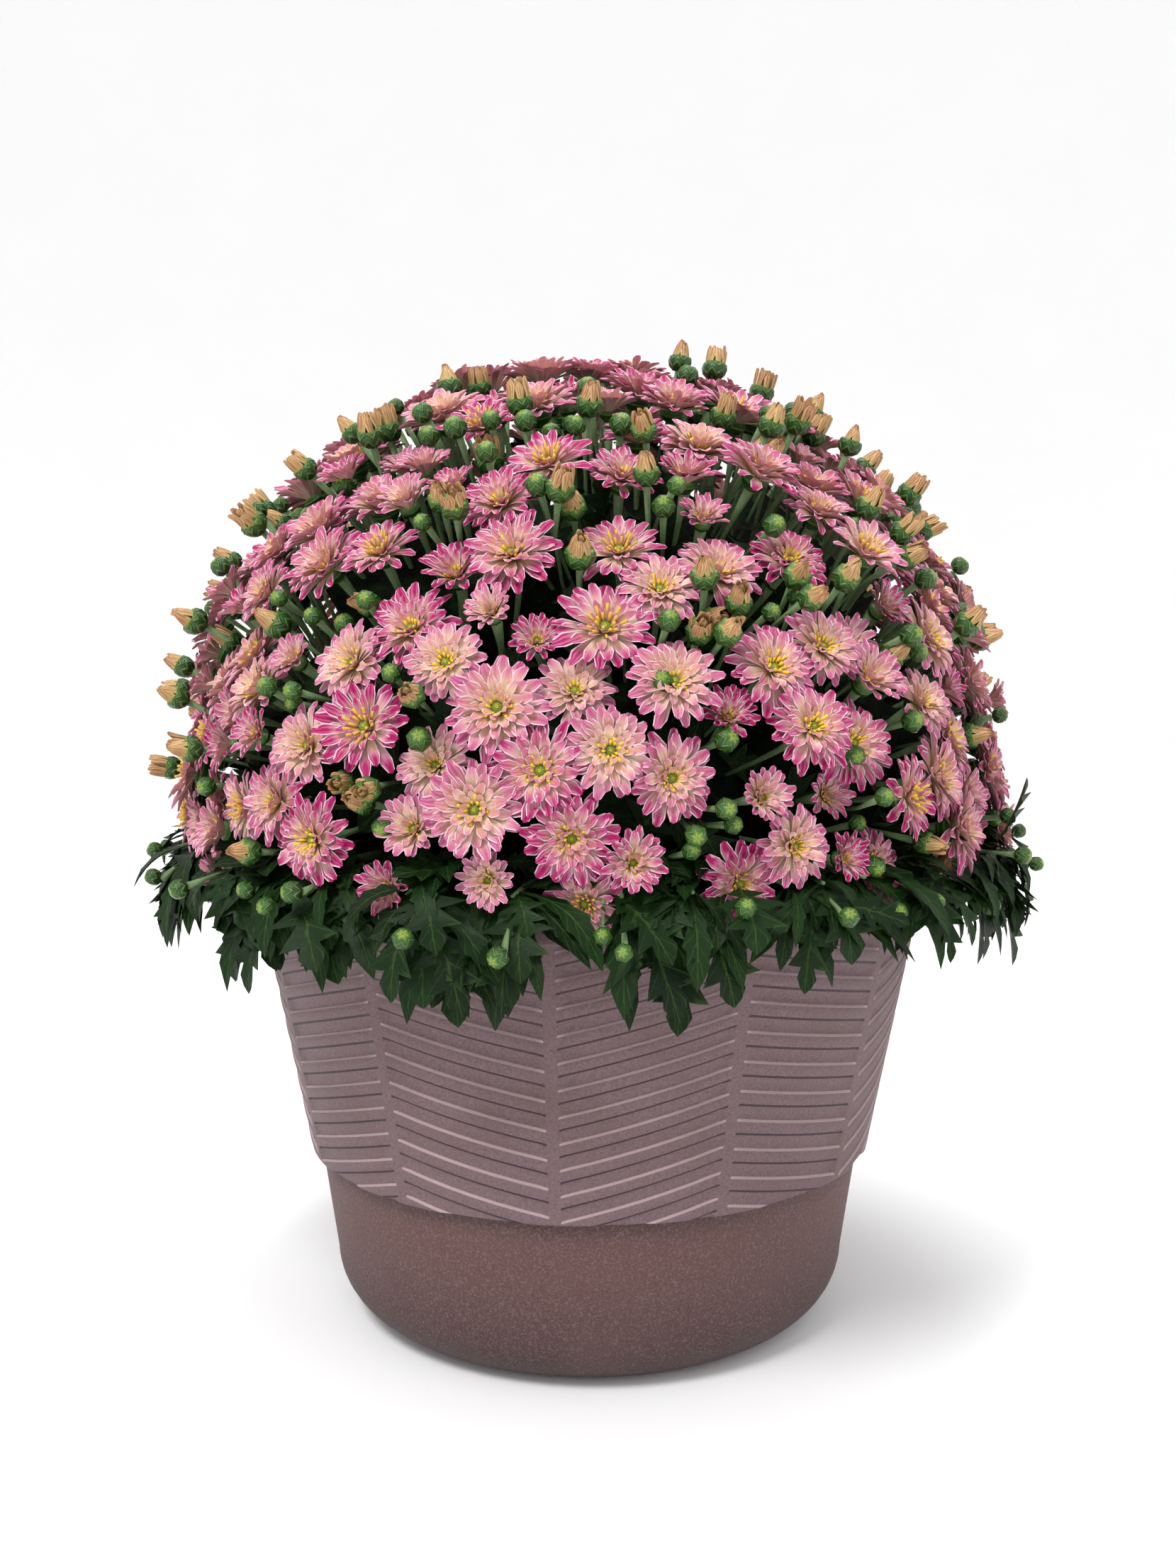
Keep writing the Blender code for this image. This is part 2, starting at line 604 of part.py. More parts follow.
def band_mesh():
    """The herringbone band as a solid: rows of raised bars that zigzag round the pot, cut level at top and foot."""
    rows = round((LIP_TOP - LIP_HEIGHT - BAND_FOOT + 2 * BAR_RISE) / BAR_PITCH)
    columns, lines = 2 * PANELS, 4 * rows - 1
    bm = bmesh.new()
    bmesh.ops.create_grid(bm, x_segments=columns, y_segments=lines, size=0.5)
    for vert in bm.verts:
        column, line = round((vert.co.x + 0.5) * columns), round((vert.co.y + 0.5) * lines)
        row, edge = divmod(line, 4)
        rise = BAR_RISE * (1 - abs(column % 4 - 2) / 2)
        z = BAND_FOOT - BAR_RISE - 0.002 + row * BAR_PITCH + (BAR_PITCH * BAR_SHARE if edge > 1 else 0) + rise
        out = wall_radius(z) - (RELIEF if edge in (0, 3) else 0)
        turn = SPINE_TURN + column * math.pi / PANELS
        vert.co = Vector((out * math.sin(turn), -out * math.cos(turn), z))
    bmesh.ops.remove_doubles(bm, verts=bm.verts, dist=0.00001)
    bmesh.ops.holes_fill(bm, edges=[e for e in bm.edges if e.is_boundary])
    for height, way in ((BAND_FOOT, -1), (LIP_TOP - LIP_HEIGHT + 0.002, 1)):
        geom = list(bm.verts) + list(bm.edges) + list(bm.faces)
        bmesh.ops.bisect_plane(bm, geom=geom, plane_co=(0, 0, height), plane_no=(0, 0, way), clear_outer=True)
        bmesh.ops.holes_fill(bm, edges=[e for e in bm.edges if e.is_boundary])
    return bm


def hole_mesh(x, y, radius, bottom, top, sides):
    bm = bmesh.new()
    bmesh.ops.create_cone(bm, cap_ends=True, segments=sides, radius1=radius, radius2=radius, depth=top - bottom)
    bmesh.ops.translate(bm, vec=(x, y, (top + bottom) / 2), verts=bm.verts)
    return bm


def add_pot(collection, material):
    """The moulded pot: outside and herringbone band joined, then the inside and the drain holes cut out."""
    pot = fuse("pot", [turned(outer_profile()), band_mesh()], collection, material)
    cuts = [turned(cavity_profile(0.0, LIP_TOP + 0.01))]
    for k in range(DRAIN_HOLES):
        turn = math.tau * k / DRAIN_HOLES
        x, y = DRAIN_CIRCLE * math.sin(turn), DRAIN_CIRCLE * math.cos(turn)
        cuts.append(hole_mesh(x, y, DRAIN_RADIUS, -0.01, 0.01, 8))
    cut_out(pot, cuts)


def add_mix(collection, material, stems):
    """The potting mix fills the pot, with a plain hole for each stem."""
    mix = to_object("potting_mix", turned(cavity_profile(MIX_SLACK, MIX_TOP)), collection)
    mix.data.materials.append(material)
    radius, bottom, top = STEM_RADIUS + HOLE_SLACK, MIX_TOP - HOLE_DEPTH, MIX_TOP + 0.01
    cut_out(mix, [hole_mesh(path[0].x, path[0].y, radius, bottom, top, 4) for path in stems])


def to_object(name, bm, collection):
    """The mesh as an object, with its faces turned outward."""
    bmesh.ops.recalc_face_normals(bm, faces=bm.faces)
    if bm.calc_volume(signed=True) < 0:
        bmesh.ops.reverse_faces(bm, faces=bm.faces)
    mesh = bpy.data.meshes.new(name)
    bm.to_mesh(mesh)
    bm.free()
    obj = bpy.data.objects.new(name, mesh)
    collection.objects.link(obj)
    return obj


def shells_of(bm):
    """The mesh's connected shells as sets of faces, the smallest first."""
    left, shells = set(bm.faces), []
    while left:
        shell, waiting = set(), [left.pop()]
        while waiting:
            face = waiting.pop()
            shell.add(face)
            near = {other for edge in face.edges for other in edge.link_faces} & left
            left -= near
            waiting.extend(near)
        shells.append(shell)
    return sorted(shells, key=len)


def keep_one_body(mesh):
    """Fills hollows that fusing sealed, drops loose scraps and joins triangles that lie in one plane."""
    bm = bmesh.new()
    bm.from_mesh(mesh)
    for shell in shells_of(bm)[:-1]:
        if len(shell) > SCRAP_FACES:
            raise ValueError(f"{mesh.name}: a piece of {len(shell)} faces came loose")
        bmesh.ops.delete(bm, geom=list(shell), context="FACES")
    bmesh.ops.dissolve_limit(bm, angle_limit=FLAT_ANGLE, verts=bm.verts, edges=bm.edges)
    bmesh.ops.triangulate(bm, faces=bm.faces)
    bm.to_mesh(mesh)
    bm.free()


def fuse(name, pieces, collection, material):
    """One Boolean union of all the pieces, applied, as the object of this name."""
    helpers = bpy.data.collections.new(name + "_pieces")
    bpy.context.scene.collection.children.link(helpers)
    body = to_object(name, pieces[0], collection)
    for k, piece in enumerate(pieces[1:]):
        to_object(f"{name}_piece_{k}", piece, helpers)
    union = body.modifiers.new("Union", "BOOLEAN")
    union.operation = "UNION"
    union.operand_type = "COLLECTION"
    union.collection = helpers
    union.solver = "MANIFOLD"
    bpy.context.view_layer.update()
    body.data = bpy.data.meshes.new_from_object(body.evaluated_get(bpy.context.evaluated_depsgraph_get()))
    body.modifiers.clear()
    body.data.name = name
    keep_one_body(body.data)
    body.data.materials.clear()
    body.data.materials.append(material)
    for helper in list(helpers.objects):
        bpy.data.objects.remove(helper)
    bpy.data.collections.remove(helpers)
    return body


def cut_out(body, cutters):
    """Takes the cutters, kept in their own collection, away from the body."""
    holder = bpy.data.collections.new(body.name + "_cutters")
    bpy.context.scene.collection.children.link(holder)
    for k, bm in enumerate(cutters):
        cutter = to_object(f"{body.name}_cutter_{k}", bm, holder)
        cutter.hide_render = True
        cutter.display_type = "WIRE"
    cut = body.modifiers.new("Cut", "BOOLEAN")
    cut.operation = "DIFFERENCE"
    cut.operand_type = "COLLECTION"
    cut.collection = holder
    cut.solver = "EXACT"


def finish(name, colour, roughness):
    material = bpy.data.materials.new(name)
    material.use_nodes = True
    shader = material.node_tree.nodes["Principled BSDF"]
    shader.inputs["Base Color"].default_value = (*colour, 1)
    shader.inputs["Roughness"].default_value = roughness
    return material


def main():
    for obj in list(bpy.data.objects):
        bpy.data.objects.remove(obj)
    plant = bpy.data.collections.new("pot_chrysanthemum")
    bpy.context.scene.collection.children.link(plant)
    draw = random.Random(SEED)
    blooms, cells = plan_blooms(draw), plan_cells()
    stems = plan_stems(cells)
    stalks = plan_stalks(draw, cells, blooms, stems)
    shoots = plan_shoots(cells, stems, blooms)
    cores = [BVHTree.FromBMesh(core_mesh(k, cells, stems[k][-1])) for k in range(len(cells))]
    leaves = plan_leaves(draw, cells, cores, blooms, stalks, shoots)
    buds = plan_buds(draw, cells, cores, blooms, stalks)
    green = finish("foliage", (0.07, 0.16, 0.05), 0.55)
    for k in range(len(cells)):
        pieces = stem_pieces(k, cells, stems, stalks, shoots, leaves, buds)
        fuse(f"leafy_stem_{k + 1:02d}", pieces, plant, green)
    add_pot(plant, finish("pot", (0.25, 0.16, 0.16), 0.8))
    add_mix(plant, finish("potting_mix", (0.03, 0.02, 0.014), 0.95), stems)
    petals = finish("petals", (0.62, 0.22, 0.30), 0.6)
    for spray in range(SPRAYS):
        members = [bloom for bloom in blooms if bloom["spray"] == spray]
        fuse(f"bloom_spray_{spray + 1:02d}", [bloom_mesh(b) for b in members], plant, petals)


main()
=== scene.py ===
"""Pot chrysanthemum in a herringbone planter: the looks. Metres, +Z up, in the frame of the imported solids.

Stems, blooms, leaves and buds are planned as in the part's source, from the same constants and seed.
"""

import math
import random

import bmesh
import bpy
import numpy as np
from mathutils import Matrix, Vector, noise
from mathutils.bvhtree import BVHTree

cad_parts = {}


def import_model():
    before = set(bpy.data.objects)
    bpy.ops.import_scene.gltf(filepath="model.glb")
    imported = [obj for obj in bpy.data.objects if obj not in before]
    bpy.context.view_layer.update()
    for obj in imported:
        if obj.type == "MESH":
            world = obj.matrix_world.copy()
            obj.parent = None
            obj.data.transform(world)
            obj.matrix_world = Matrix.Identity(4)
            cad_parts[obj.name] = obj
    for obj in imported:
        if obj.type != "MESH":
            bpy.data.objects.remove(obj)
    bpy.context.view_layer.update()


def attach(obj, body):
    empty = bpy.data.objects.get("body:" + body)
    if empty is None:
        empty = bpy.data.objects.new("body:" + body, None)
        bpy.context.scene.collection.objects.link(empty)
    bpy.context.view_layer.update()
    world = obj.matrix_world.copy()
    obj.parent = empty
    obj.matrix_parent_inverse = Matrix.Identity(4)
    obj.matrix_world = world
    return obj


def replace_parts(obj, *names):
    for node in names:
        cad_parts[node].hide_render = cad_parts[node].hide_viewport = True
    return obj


# Planter
LIP_TOP = 0.218
LIP_RADIUS = 0.178
LIP_HEIGHT = 0.013
LIP_EDGE = 0.003
LIP_UNDER = 0.0015
BAND_TOP_RADIUS = 0.157
BAND_FOOT = 0.081
BAND_FOOT_RADIUS = 0.1335
STEP_IN = 0.0045
STEP_HIGH = 0.0008
BASE_ARC = 0.030
BASE_ARC_TOP_RADIUS = 0.1215
BASE_INSET = 0.004
FOOT_RING = 0.012
FOOT_BEVEL = 0.003
FOOT_RECESS = 0.002
WALL = 0.0045
FLOOR = 0.005
DRAIN_HOLES = 5
DRAIN_RADIUS = 0.006
DRAIN_CIRCLE = 0.055

# Herringbone band: panels round the planter, and where the first low spine stands
PANELS = 12
SPINE_TURN = math.radians(-6.0)

# Potting mix, and the stems that stand in its holes
MIX_TOP = 0.190
MIX_SLACK = 0.0003
HOLE_DEPTH = 0.024
STEM_RADIUS = 0.0026
SEAT = 0.0003

# Leafy stems: number, lean and turn in degrees of each ring of them round the centre one
RINGS = ((5, 22.0, 20.0), (10, 43.0, 9.0))
# For the centre and each ring: a stem's distance from the axis at foot, bend and fork,
# then the heights of bend and fork
ROUTES = ((0, 0, 0, 0.240, 0.325), (0.028, 0.045, 0.066, 0.240, 0.300), (0.086, 0.100, 0.114, 0.225, 0.262))
STEM_APEX = Vector((0, 0, 0.120))
CELL_GAP = 0.0006

# Each stem's dense leafy middle
CORE_RADIUS = 0.150
CORE_FLOOR = 0.2225
CORE_GAP = 0.0012
CORE_REACH = 0.128
CORE_STEP = 0.0003
CORE_SKIN = 0.003

# Dome of blooms
SEED = 11
DOME = Vector((0, 0, 0.250))
DOME_RADIUS = 0.183
LOWEST_BLOOM = 0.233
BLOOMS = 152
SPRAYS = 40
SPRAY_RISE = 0.12
SPRAY_LIFT = (-0.003, 0.004)
SPRAY_LEAN = (-0.16, 0.16)
BLOOM_RADIUS = 0.0172
BLOOM_SPREAD = 0.0016
OPENNESS = (0.8, 1.0)
YOUNG_SHARE = 0.13
YOUNG_SIZE = 0.82
YOUNG_OPEN = 0.45
BLOOM_GAP = 0.0012
SPRAY_GAP = 0.0032
LINK_REACH = 0.775

# A bloom as shares of its radius: depth below its centre, rise of the room it takes up and of its petals,
# and what a closed cup adds to that rise
BLOOM_DEPTH = 0.34
BLOOM_RISE, PETAL_RISE, CUP_RISE = 0.34, 0.36, 0.5
# Where a bloom's petal runs into its neighbour: shares out and up in the neighbour, then in the bloom itself
MEET_OUT, MEET_UP = 0.68, 0.36
REACH_OUT, REACH_CUP, REACH_UP = 0.86, 0.1, 0.45

# Room kept round the planter: where its lip starts, then clear of the lip's side, its top and the mix
LIP_INSIDE = BAND_TOP_RADIUS - 0.017
SIDE_CLEAR, TOP_CLEAR, MIX_CLEAR = 0.003, 0.0025, 0.004

# Flower stalks, side shoots, leaves and buds
FORK_SHARE = (0.86, 0.95)
STALK_BENDS = ((0.026, 0.25), (0.020, 0.1), (0.034, 0.2), (0.014, 0.05))
STALK_CLEAR = 0.0024
STALK_REACH = 0.12
SHOOT_TURNS = (-7.5, 8.0)
SHOOT_NUDGES = (0.0, 2.0, -2.0, 4.0, -4.0, 6.0, -6.0)
SHOOT_SPOTS = ((0.158, 0.2310), (0.1815, 0.2265))
SHOOT_ROOM = 0.004
SHOOT_START = 0.3
LOBED = ((0.035, 0.0), (0.40, 0.38), (0.18, 0.52), (0.42, 0.72))
LANCE = ((0.035, 0.0), (0.14, 0.5))
LEAF_MIDDLE = 0.55
LEAF_FOLD = 0.25
LEAF_CLEAR = 0.0018
BLADE_CLEAR = 0.0004
BLADE_REACH = 0.055
LEAF_SPACING = 0.020
SKIRT_LENGTH = (0.038, 0.050)
INNER_LENGTH = (0.036, 0.046)
SKIRT_LEAVES = 2
STALK_LEAF_SHARE = 0.7
TRIES = 70
HALF_OPEN_SHARE = 0.25
HALF_OPEN_RADIUS = 0.0056
BUD_RADIUS = (0.0040, 0.0050)
BUD_REACH = (0.183, 0.193)
BUD_STALK_LIMIT = 0.085
BUD_SPACING = 0.015
BUD_STALK_CLEAR, BUD_CLEAR = 0.0022, 0.0008
BUD_LOWEST = LIP_TOP + 0.012
BUD_NEAR = 0.08

# Camera and light: each lamp is its name, place, target, size and power
CAMERA_PLACE = (-0.0007, -0.764, 0.326)
CAMERA_PITCH = 5.86
CAMERA_LENS = 36.94
LIGHT_LEVEL = 1.26
WORLD_LIGHT = 1.04
LIGHTS = (
    ("key_light", (-0.6, -1.2, 1.7), (0, 0, 0.22), 0.6, 25),
    ("fill_light", (1.4, -1.2, 0.9), (0, 0, 0.2), 1.4, 3),
    ("top_light", (0.1, 0.3, 1.9), (0, 0, 0.3), 0.9, 13),
)

# Finer planter: steps of the turned body
TURN_STEPS = 96
# Finer mix: steps and cuts of its top, how far the top dips, keeps off the wall and fades in, and the crumbs'
# sizes and heights
MIX_STEPS, MIX_CUTS = 48, 7
MIX_DIP, MIX_RIM, MIX_FADE = 0.002, 0.003, 0.01
CRUMBS = ((90, 0.0022), (260, 0.0011))
# The pitch of the bars and their rise across a panel, for the panels right and left of a low spine
BAR_ROWS = (0.0116, 0.0128)
BAR_RISES = (0.0200, 0.0145)
# Along a row: (share, depth, tone), with the tone a painted shadow, darker, under a bar and a painted
# highlight, paler, along its upper edge
ROW_LINES = ((0.0, 1.0, 0.0), (0.41, 1.0, 0.0), (0.435, 0.9, -1.0), (0.505, 0.2, -1.0), (0.535, 0.0, 0.0))
ROW_LINES += ((0.885, 0.0, 0.0), (0.91, 0.15, 1.0), (0.97, 0.7, 1.0))
# Across a panel: (share, relief, share of the painted highlight and shadow), both fading out just before the
# flat strip at each side
PANEL_SPOTS = ((0.0, 0, 0), (0.030, 0, 0), (0.038, 0.15, 1), (0.055, 0.6, 1), (0.08, 1, 1), (0.2, 1, 1))
PANEL_SPOTS += ((0.35, 1, 1), (0.5, 1, 1), (0.65, 1, 1), (0.8, 1, 1), (0.92, 1, 1), (0.945, 0.6, 1))
PANEL_SPOTS += ((0.962, 0.15, 1), (0.970, 0, 0))
BAND_RELIEF = 0.0012
BAND_DEPTH = 0.0028
BAND_TUCK = 0.0005
BAND_SPARE = 0.002
MERGE = 0.00001

# Petals: (along, half width) of each ring of the flat form
PETAL_RINGS = ((0.08, 0.36), (0.42, 0.74), (0.76, 1.0), (0.95, 0.58))
PETAL_THICK = 0.012
QUILL_SIDES = 5
# Layers from the outside in: count, length, width, foot radius, foot height, rise at foot and tip in degrees
FULL = (
    (13, 0.92, 0.265, 0.12, -0.02, 12, -14),
    (14, 0.86, 0.265, 0.11, 0.00, 22, -4),
    (14, 0.74, 0.25, 0.10, 0.02, 34, 8),
    (13, 0.58, 0.21, 0.09, 0.04, 48, 22),
    (11, 0.42, 0.17, 0.08, 0.05, 62, 38),
)
LOOSE = (
    (13, 0.92, 0.26, 0.12, -0.02, 12, -8),
    (13, 0.80, 0.25, 0.11, 0.00, 22, 2),
    (12, 0.56, 0.19, 0.10, 0.02, 36, 18),
    (12, 0.36, 0.15, 0.09, 0.04, 55, 40),
)
YOUNG = (
    (12, 0.98, 0.27, 0.12, -0.02, 50, 22),
    (12, 0.90, 0.26, 0.11, 0.00, 58, 32),
    (9, 0.70, 0.24, 0.10, 0.02, 68, 48),
    (7, 0.46, 0.20, 0.09, 0.04, 76, 66),
)
LOOSE_SHARE, LOOSE_SPREAD = 0.22, 1.25
QUILLS = 17
QUILL = (0.35, 0.068, 0.085, 0.06, 70, 42)
# Closed petals of a half-open bud: shortest, longest, width, foot radius, rise at foot and tip, and spread
SHUT_PETALS = 12
SHUT_INNER = (1.7, 2.0, 0.55, 0.22, 84, 104, 0)
SHUT_OUTER = (1.8, 2.2, 0.62, 0.60, 82, 124, 1)
# Round forms: (height, radius) of each ring from the foot up, then each form's name, material slot and sides
EYE = ((0.02, 0), (0.06, 0.10), (0.13, 0.13), (0.19, 0.09), (0.20, 0))
CUP = ((-0.36, 0), (-0.33, 0.13), (-0.20, 0.27), (-0.03, 0.30), (0.02, 0))
BUD = ((-1.0, 0), (-0.86, 0.55), (-0.45, 0.93), (0.05, 1.0), (0.50, 0.84), (0.80, 0.50), (0.86, 0))
HALF_CUP = ((-1.0, 0), (-0.90, 0.50), (-0.55, 0.88), (-0.10, 1.0), (0.30, 0.93), (0.42, 0.80), (0.20, 0))
BALLS = (("eye", 2, 10, EYE), ("cup", 4, 10, CUP), ("bud", 2, 12, BUD), ("half_cup", 2, 12, HALF_CUP))
BLOOM_SCALE = 1.09
# Blooms near the top of the dome are more cupped: degrees, and the heights from and over which it grows
CUP_LIFT = 10
CUP_HEIGHTS = (0.320, 0.080)
RIB_RELIEF = 0.05
# How uneven the skin of a leafy middle is
SHADE_RELIEF = 0.035
# The share by which the leafy middle's skin swells toward the blooms, and where on the way out it starts
SKIN_SWELL, SKIN_START = 0.085, 0.75

# Finer leaves: (along the midrib, along at the edge, half width) of each ring
LOBED_RINGS = (
    (0.04, 0.04, 0.018),
    (0.18, 0.18, 0.022),
    (0.27, 0.38, 0.18),
    (0.34, 0.39, 0.07),
    (0.42, 0.57, 0.34),
    (0.48, 0.575, 0.20),
    (0.54, 0.575, 0.085),
    (0.62, 0.78, 0.28),
    (0.69, 0.78, 0.17),
    (0.75, 0.775, 0.09),
    (0.83, 0.87, 0.13),
    (0.92, 0.945, 0.075),
)
LANCE_RINGS = (
    (0.05, 0.05, 0.018),
    (0.20, 0.20, 0.025),
    (0.33, 0.40, 0.10),
    (0.45, 0.47, 0.085),
    (0.55, 0.62, 0.14),
    (0.65, 0.66, 0.10),
    (0.75, 0.80, 0.10),
    (0.88, 0.90, 0.055),
)
BLADE_THICK = 0.00022

# More blooms, buds and leaves than the solids hold
MORE_SEED = 23
BLOOM_TRIES = 3600
CLOSE_BLOOMS = 0.76
MORE_BLOOM_REACH = (0.176, 0.189)
MORE_BLOOM_LOWEST, MORE_BLOOM_FRINGE = 0.2195, 0.02
MORE_YOUNG = 0.30
MORE_BUDS = 270
MORE_HALF_OPEN = 0.67
MORE_BUD_NEAR = 0.07
MORE_BUD_BEND = (0.035, 0.055)
BUD_TRIES = 9000
CLOSE_BUDS = 0.0100
# Radii of the further buds, from and to: half open, closed, and over the lip
MORE_HALF_RADIUS, MORE_BUD_RADIUS, SHOOT_BUD_RADIUS = (0.0050, 0.0060), (0.0036, 0.0050), (0.0034, 0.0045)
MORE_REACH = (0.180, 0.199)
# Further side shoots: turns in degrees, distance from the axis and height of the bend, and those of the end
MORE_SHOOTS = (-16, -10, -4, 4, 10, 16)
MORE_SHOOT_BEND, MORE_SHOOT_RISE = 0.152, (0.2265, 0.232)
MORE_SHOOT_END, MORE_SHOOT_DROOP = (0.182, 0.191), (0.2235, 0.2285)
# Further leaves: most of them to a shoot, tries, share of stalks with one, reach from the axis, and lengths
SKIRT_MORE, FILL_MORE, SKIRT_TRIES = 16, 6, 120
STALK_MORE = 0.72
LEAF_LIMIT = 0.202
STALK_LENGTH, COVER_LENGTH, FILL_LENGTH = (0.022, 0.036), (0.028, 0.040), (0.026, 0.042)
HANGING_LENGTH, HANGING_MORE = 0.026, 0.032

# Sides of stems and stalks, their material slots, and their radii from the foot to the end
STEM_SIDES = 6
STALK_SIDES = 5
STALK_SLOT, SHADE_SLOT = 1, 4
STEM_TAPER = 0.05
STALK_RADII = (0.0013, 0.0011, 0.0010, 0.0009, 0.0010, 0.0013, 0.0024)
SHOOT_RADII = (0.0017, 0.0016, 0.0015, 0.0013, 0.0011, 0.0008)
BUD_STALK_RADII = (0.0011, 0.0009, 0.0008, 0.0008, 0.0009, 0.0016)

UP = Vector((0, 0, 1))


def level_way(turn):
    """A level direction, turned from the front toward the right."""
    return Vector((math.sin(turn), -math.cos(turn), 0))


def level(point):
    """The level direction from the planter's axis to a point."""
    return Vector((point.x, point.y, 0)).normalized()


def from_dome(point):
    """The direction from the dome's centre to a point."""
    return (point - DOME).normalized()


def near(blooms, point, reach):
    """The blooms whose centre is closer to the point than the reach."""
    return [bloom for bloom in blooms if (bloom["centre"] - point).length < reach]


def up_stem(stem, share):
    """A point on a stem, some share of the way from its bend to its fork."""
    return stem[-2].lerp(stem[-1], share)


def plan_cells():
    """Directions from the stems' apex, one a leafy stem: a centre one, an inner ring and an outer ring."""
    cells = [UP.copy()]
    for count, lean, turn in RINGS:
        away = math.radians(lean)
        for k in range(count):
            flat = level_way(math.radians(turn + 360.0 * k / count))
            cells.append(flat * math.sin(away) + UP * math.cos(away))
    return cells


def ring_of(k):
    """0 for the centre stem, 1 for the inner ring and 2 for the outer one."""
    return 0 if k == 0 else 1 if k <= RINGS[0][0] else 2


def cell_margin(point, k, cells):
    """Distance from the point to the nearest side of cell k, negative outside it."""
    offset = point - STEM_APEX
    others = [other for j, other in enumerate(cells) if j != k]
    return min(offset.dot(cells[k] - other) / (cells[k] - other).length for other in others)


def scatter(draw):
    """A vector with each part drawn between -1 and 1."""
    return Vector([draw.uniform(-1, 1) for _ in range(3)])


def spiral(count, lowest):
    """Evenly spread directions on the dome, from its top down to the given height share."""
    golden = math.pi * (3 - math.sqrt(5))
    found = []
    for i in range(count):
        z = 1 - (1 - lowest) * (i + 0.5) / count
        flat = math.sqrt(1 - z * z)
        found.append((flat * math.sin(golden * i), -flat * math.cos(golden * i), z))
    return np.array(found)


def spray_links(members, points):
    """The members of a spray as a tree, each with the bloom it grows beside, nearest first."""
    centre = points[members].mean(axis=0)
    root = min(members, key=lambda i: np.linalg.norm(points[i] - centre))
    links, waiting = [(root, None)], [i for i in members if i != root]
    while waiting:
        pairs = [(i, j) for i in waiting for j, _ in links]
        child, parent = min(pairs, key=lambda pair: np.linalg.norm(points[pair[0]] - points[pair[1]]))
        links.append((child, parent))
        waiting.remove(child)
    return links


def spread_blooms(points, radii, group, links):
    """Moves blooms over the dome until linked ones touch and all others keep clear of each other."""
    same = group[:, None] == group[None, :]
    reach = radii[:, None] + radii[None, :]
    linked = np.zeros(same.shape, bool)
    for spray in links:
        for child, parent in spray[1:]:
            linked[child, parent] = linked[parent, child] = True
    want = np.where(linked, LINK_REACH * reach, reach + np.where(same, BLOOM_GAP, SPRAY_GAP))
    lowest = (LOWEST_BLOOM - DOME.z) / DOME_RADIUS
    for _ in range(200):
        apart = points[:, None] - points[None, :]
        distance = np.linalg.norm(apart, axis=2) + np.eye(len(points))
        push = np.clip(want - distance, 0, None)
        np.fill_diagonal(push, 0)
        pull = np.where(linked, np.clip(distance - want, 0, None), 0)
        points = points + ((0.3 * (push - pull) / distance)[:, :, None] * apart).sum(axis=1)
        points = points / np.linalg.norm(points, axis=1)[:, None]
        points[:, 2] = np.maximum(points[:, 2], lowest)
        points = points / np.linalg.norm(points, axis=1)[:, None] * DOME_RADIUS
    return points


def place_beside(place, points, i, other):
    """Where a bloom sits so that one petal runs into its neighbour's, and which way that petal points."""
    away = Vector(points[i] - points[other["index"]])
    away = (away - other["axis"] * away.dot(other["axis"])).normalized()
    meeting = other["centre"] + away * (MEET_OUT * other["radius"])
    meeting += other["axis"] * (MEET_UP * (1 - other["open"]) * other["radius"])
    axis, radius, cup = place["axis"], place["radius"], 1 - place["open"]
    toward = (-away + axis * away.dot(axis)).normalized()
    centre = meeting - toward * ((REACH_OUT - REACH_CUP * cup) * radius) - axis * (REACH_UP * cup * radius)
    return centre, toward


def plan_blooms(draw):
    """Every bloom as a dict: how it sits and opens, its spray and the petal that meets its neighbour."""
    lowest = (LOWEST_BLOOM - DOME.z) / DOME_RADIUS
    directions = spiral(BLOOMS, lowest)
    hubs = spiral(SPRAYS, lowest + SPRAY_RISE)
    group = np.array([int(np.argmax(hubs @ direction)) for direction in directions])
    radii = np.array([BLOOM_RADIUS + draw.uniform(-1, 1) * BLOOM_SPREAD for _ in directions])
    young = np.array([draw.random() < YOUNG_SHARE for _ in directions])
    radii = np.where(young, radii * YOUNG_SIZE, radii)
    points = directions * DOME_RADIUS
    links = [spray_links([i for i in range(BLOOMS) if group[i] == spray], points) for spray in range(SPRAYS)]
    points = spread_blooms(points, radii, group, links)
    blooms = [None] * BLOOMS
    for spray in range(SPRAYS):
        lift = draw.uniform(*SPRAY_LIFT)
        lean = Vector((draw.uniform(*SPRAY_LEAN), draw.uniform(*SPRAY_LEAN), draw.uniform(0.0, 0.3)))
        for i, parent in links[spray]:
            outward = Vector(points[i]).normalized()
            bloom = {
                "index": i,
                "spray": spray,
                "axis": (outward + lean + scatter(draw) * 0.1).normalized(),
                "radius": float(radii[i]),
                "open": YOUNG_OPEN if young[i] else draw.uniform(*OPENNESS),
            }
            if parent is None:
                bloom["centre"], bloom["toward"] = DOME + outward * (DOME_RADIUS + lift), UP
            else:
                bloom["centre"], bloom["toward"] = place_beside(bloom, points, i, blooms[parent])
            blooms[i] = bloom
    return blooms


def bloom_spot(point, bloom):
    """Where a point lies in a bloom: its height along the axis and its distance from the axis."""
    offset = point - bloom["centre"]
    height = offset.dot(bloom["axis"])
    return height, (offset - bloom["axis"] * height).length


def inside_bloom(point, bloom, margin):
    """Whether the point is within the margin of the short round space that a bloom takes up."""
    (height, across), radius = bloom_spot(point, bloom), bloom["radius"]
    top = (BLOOM_RISE + CUP_RISE * (1 - bloom["open"])) * radius
    return across < radius + margin and -(BLOOM_DEPTH + 0.02) * radius - margin < height < top + margin


def leaf_outline(leaf):
    """The leaf's outline as (across, along) shares of its length, from the tip round to the tip."""
    half = LOBED if leaf["lobed"] else LANCE
    return [(0, 1)] + [(x, y) for x, y in reversed(half)] + [(-x, y) for x, y in half]


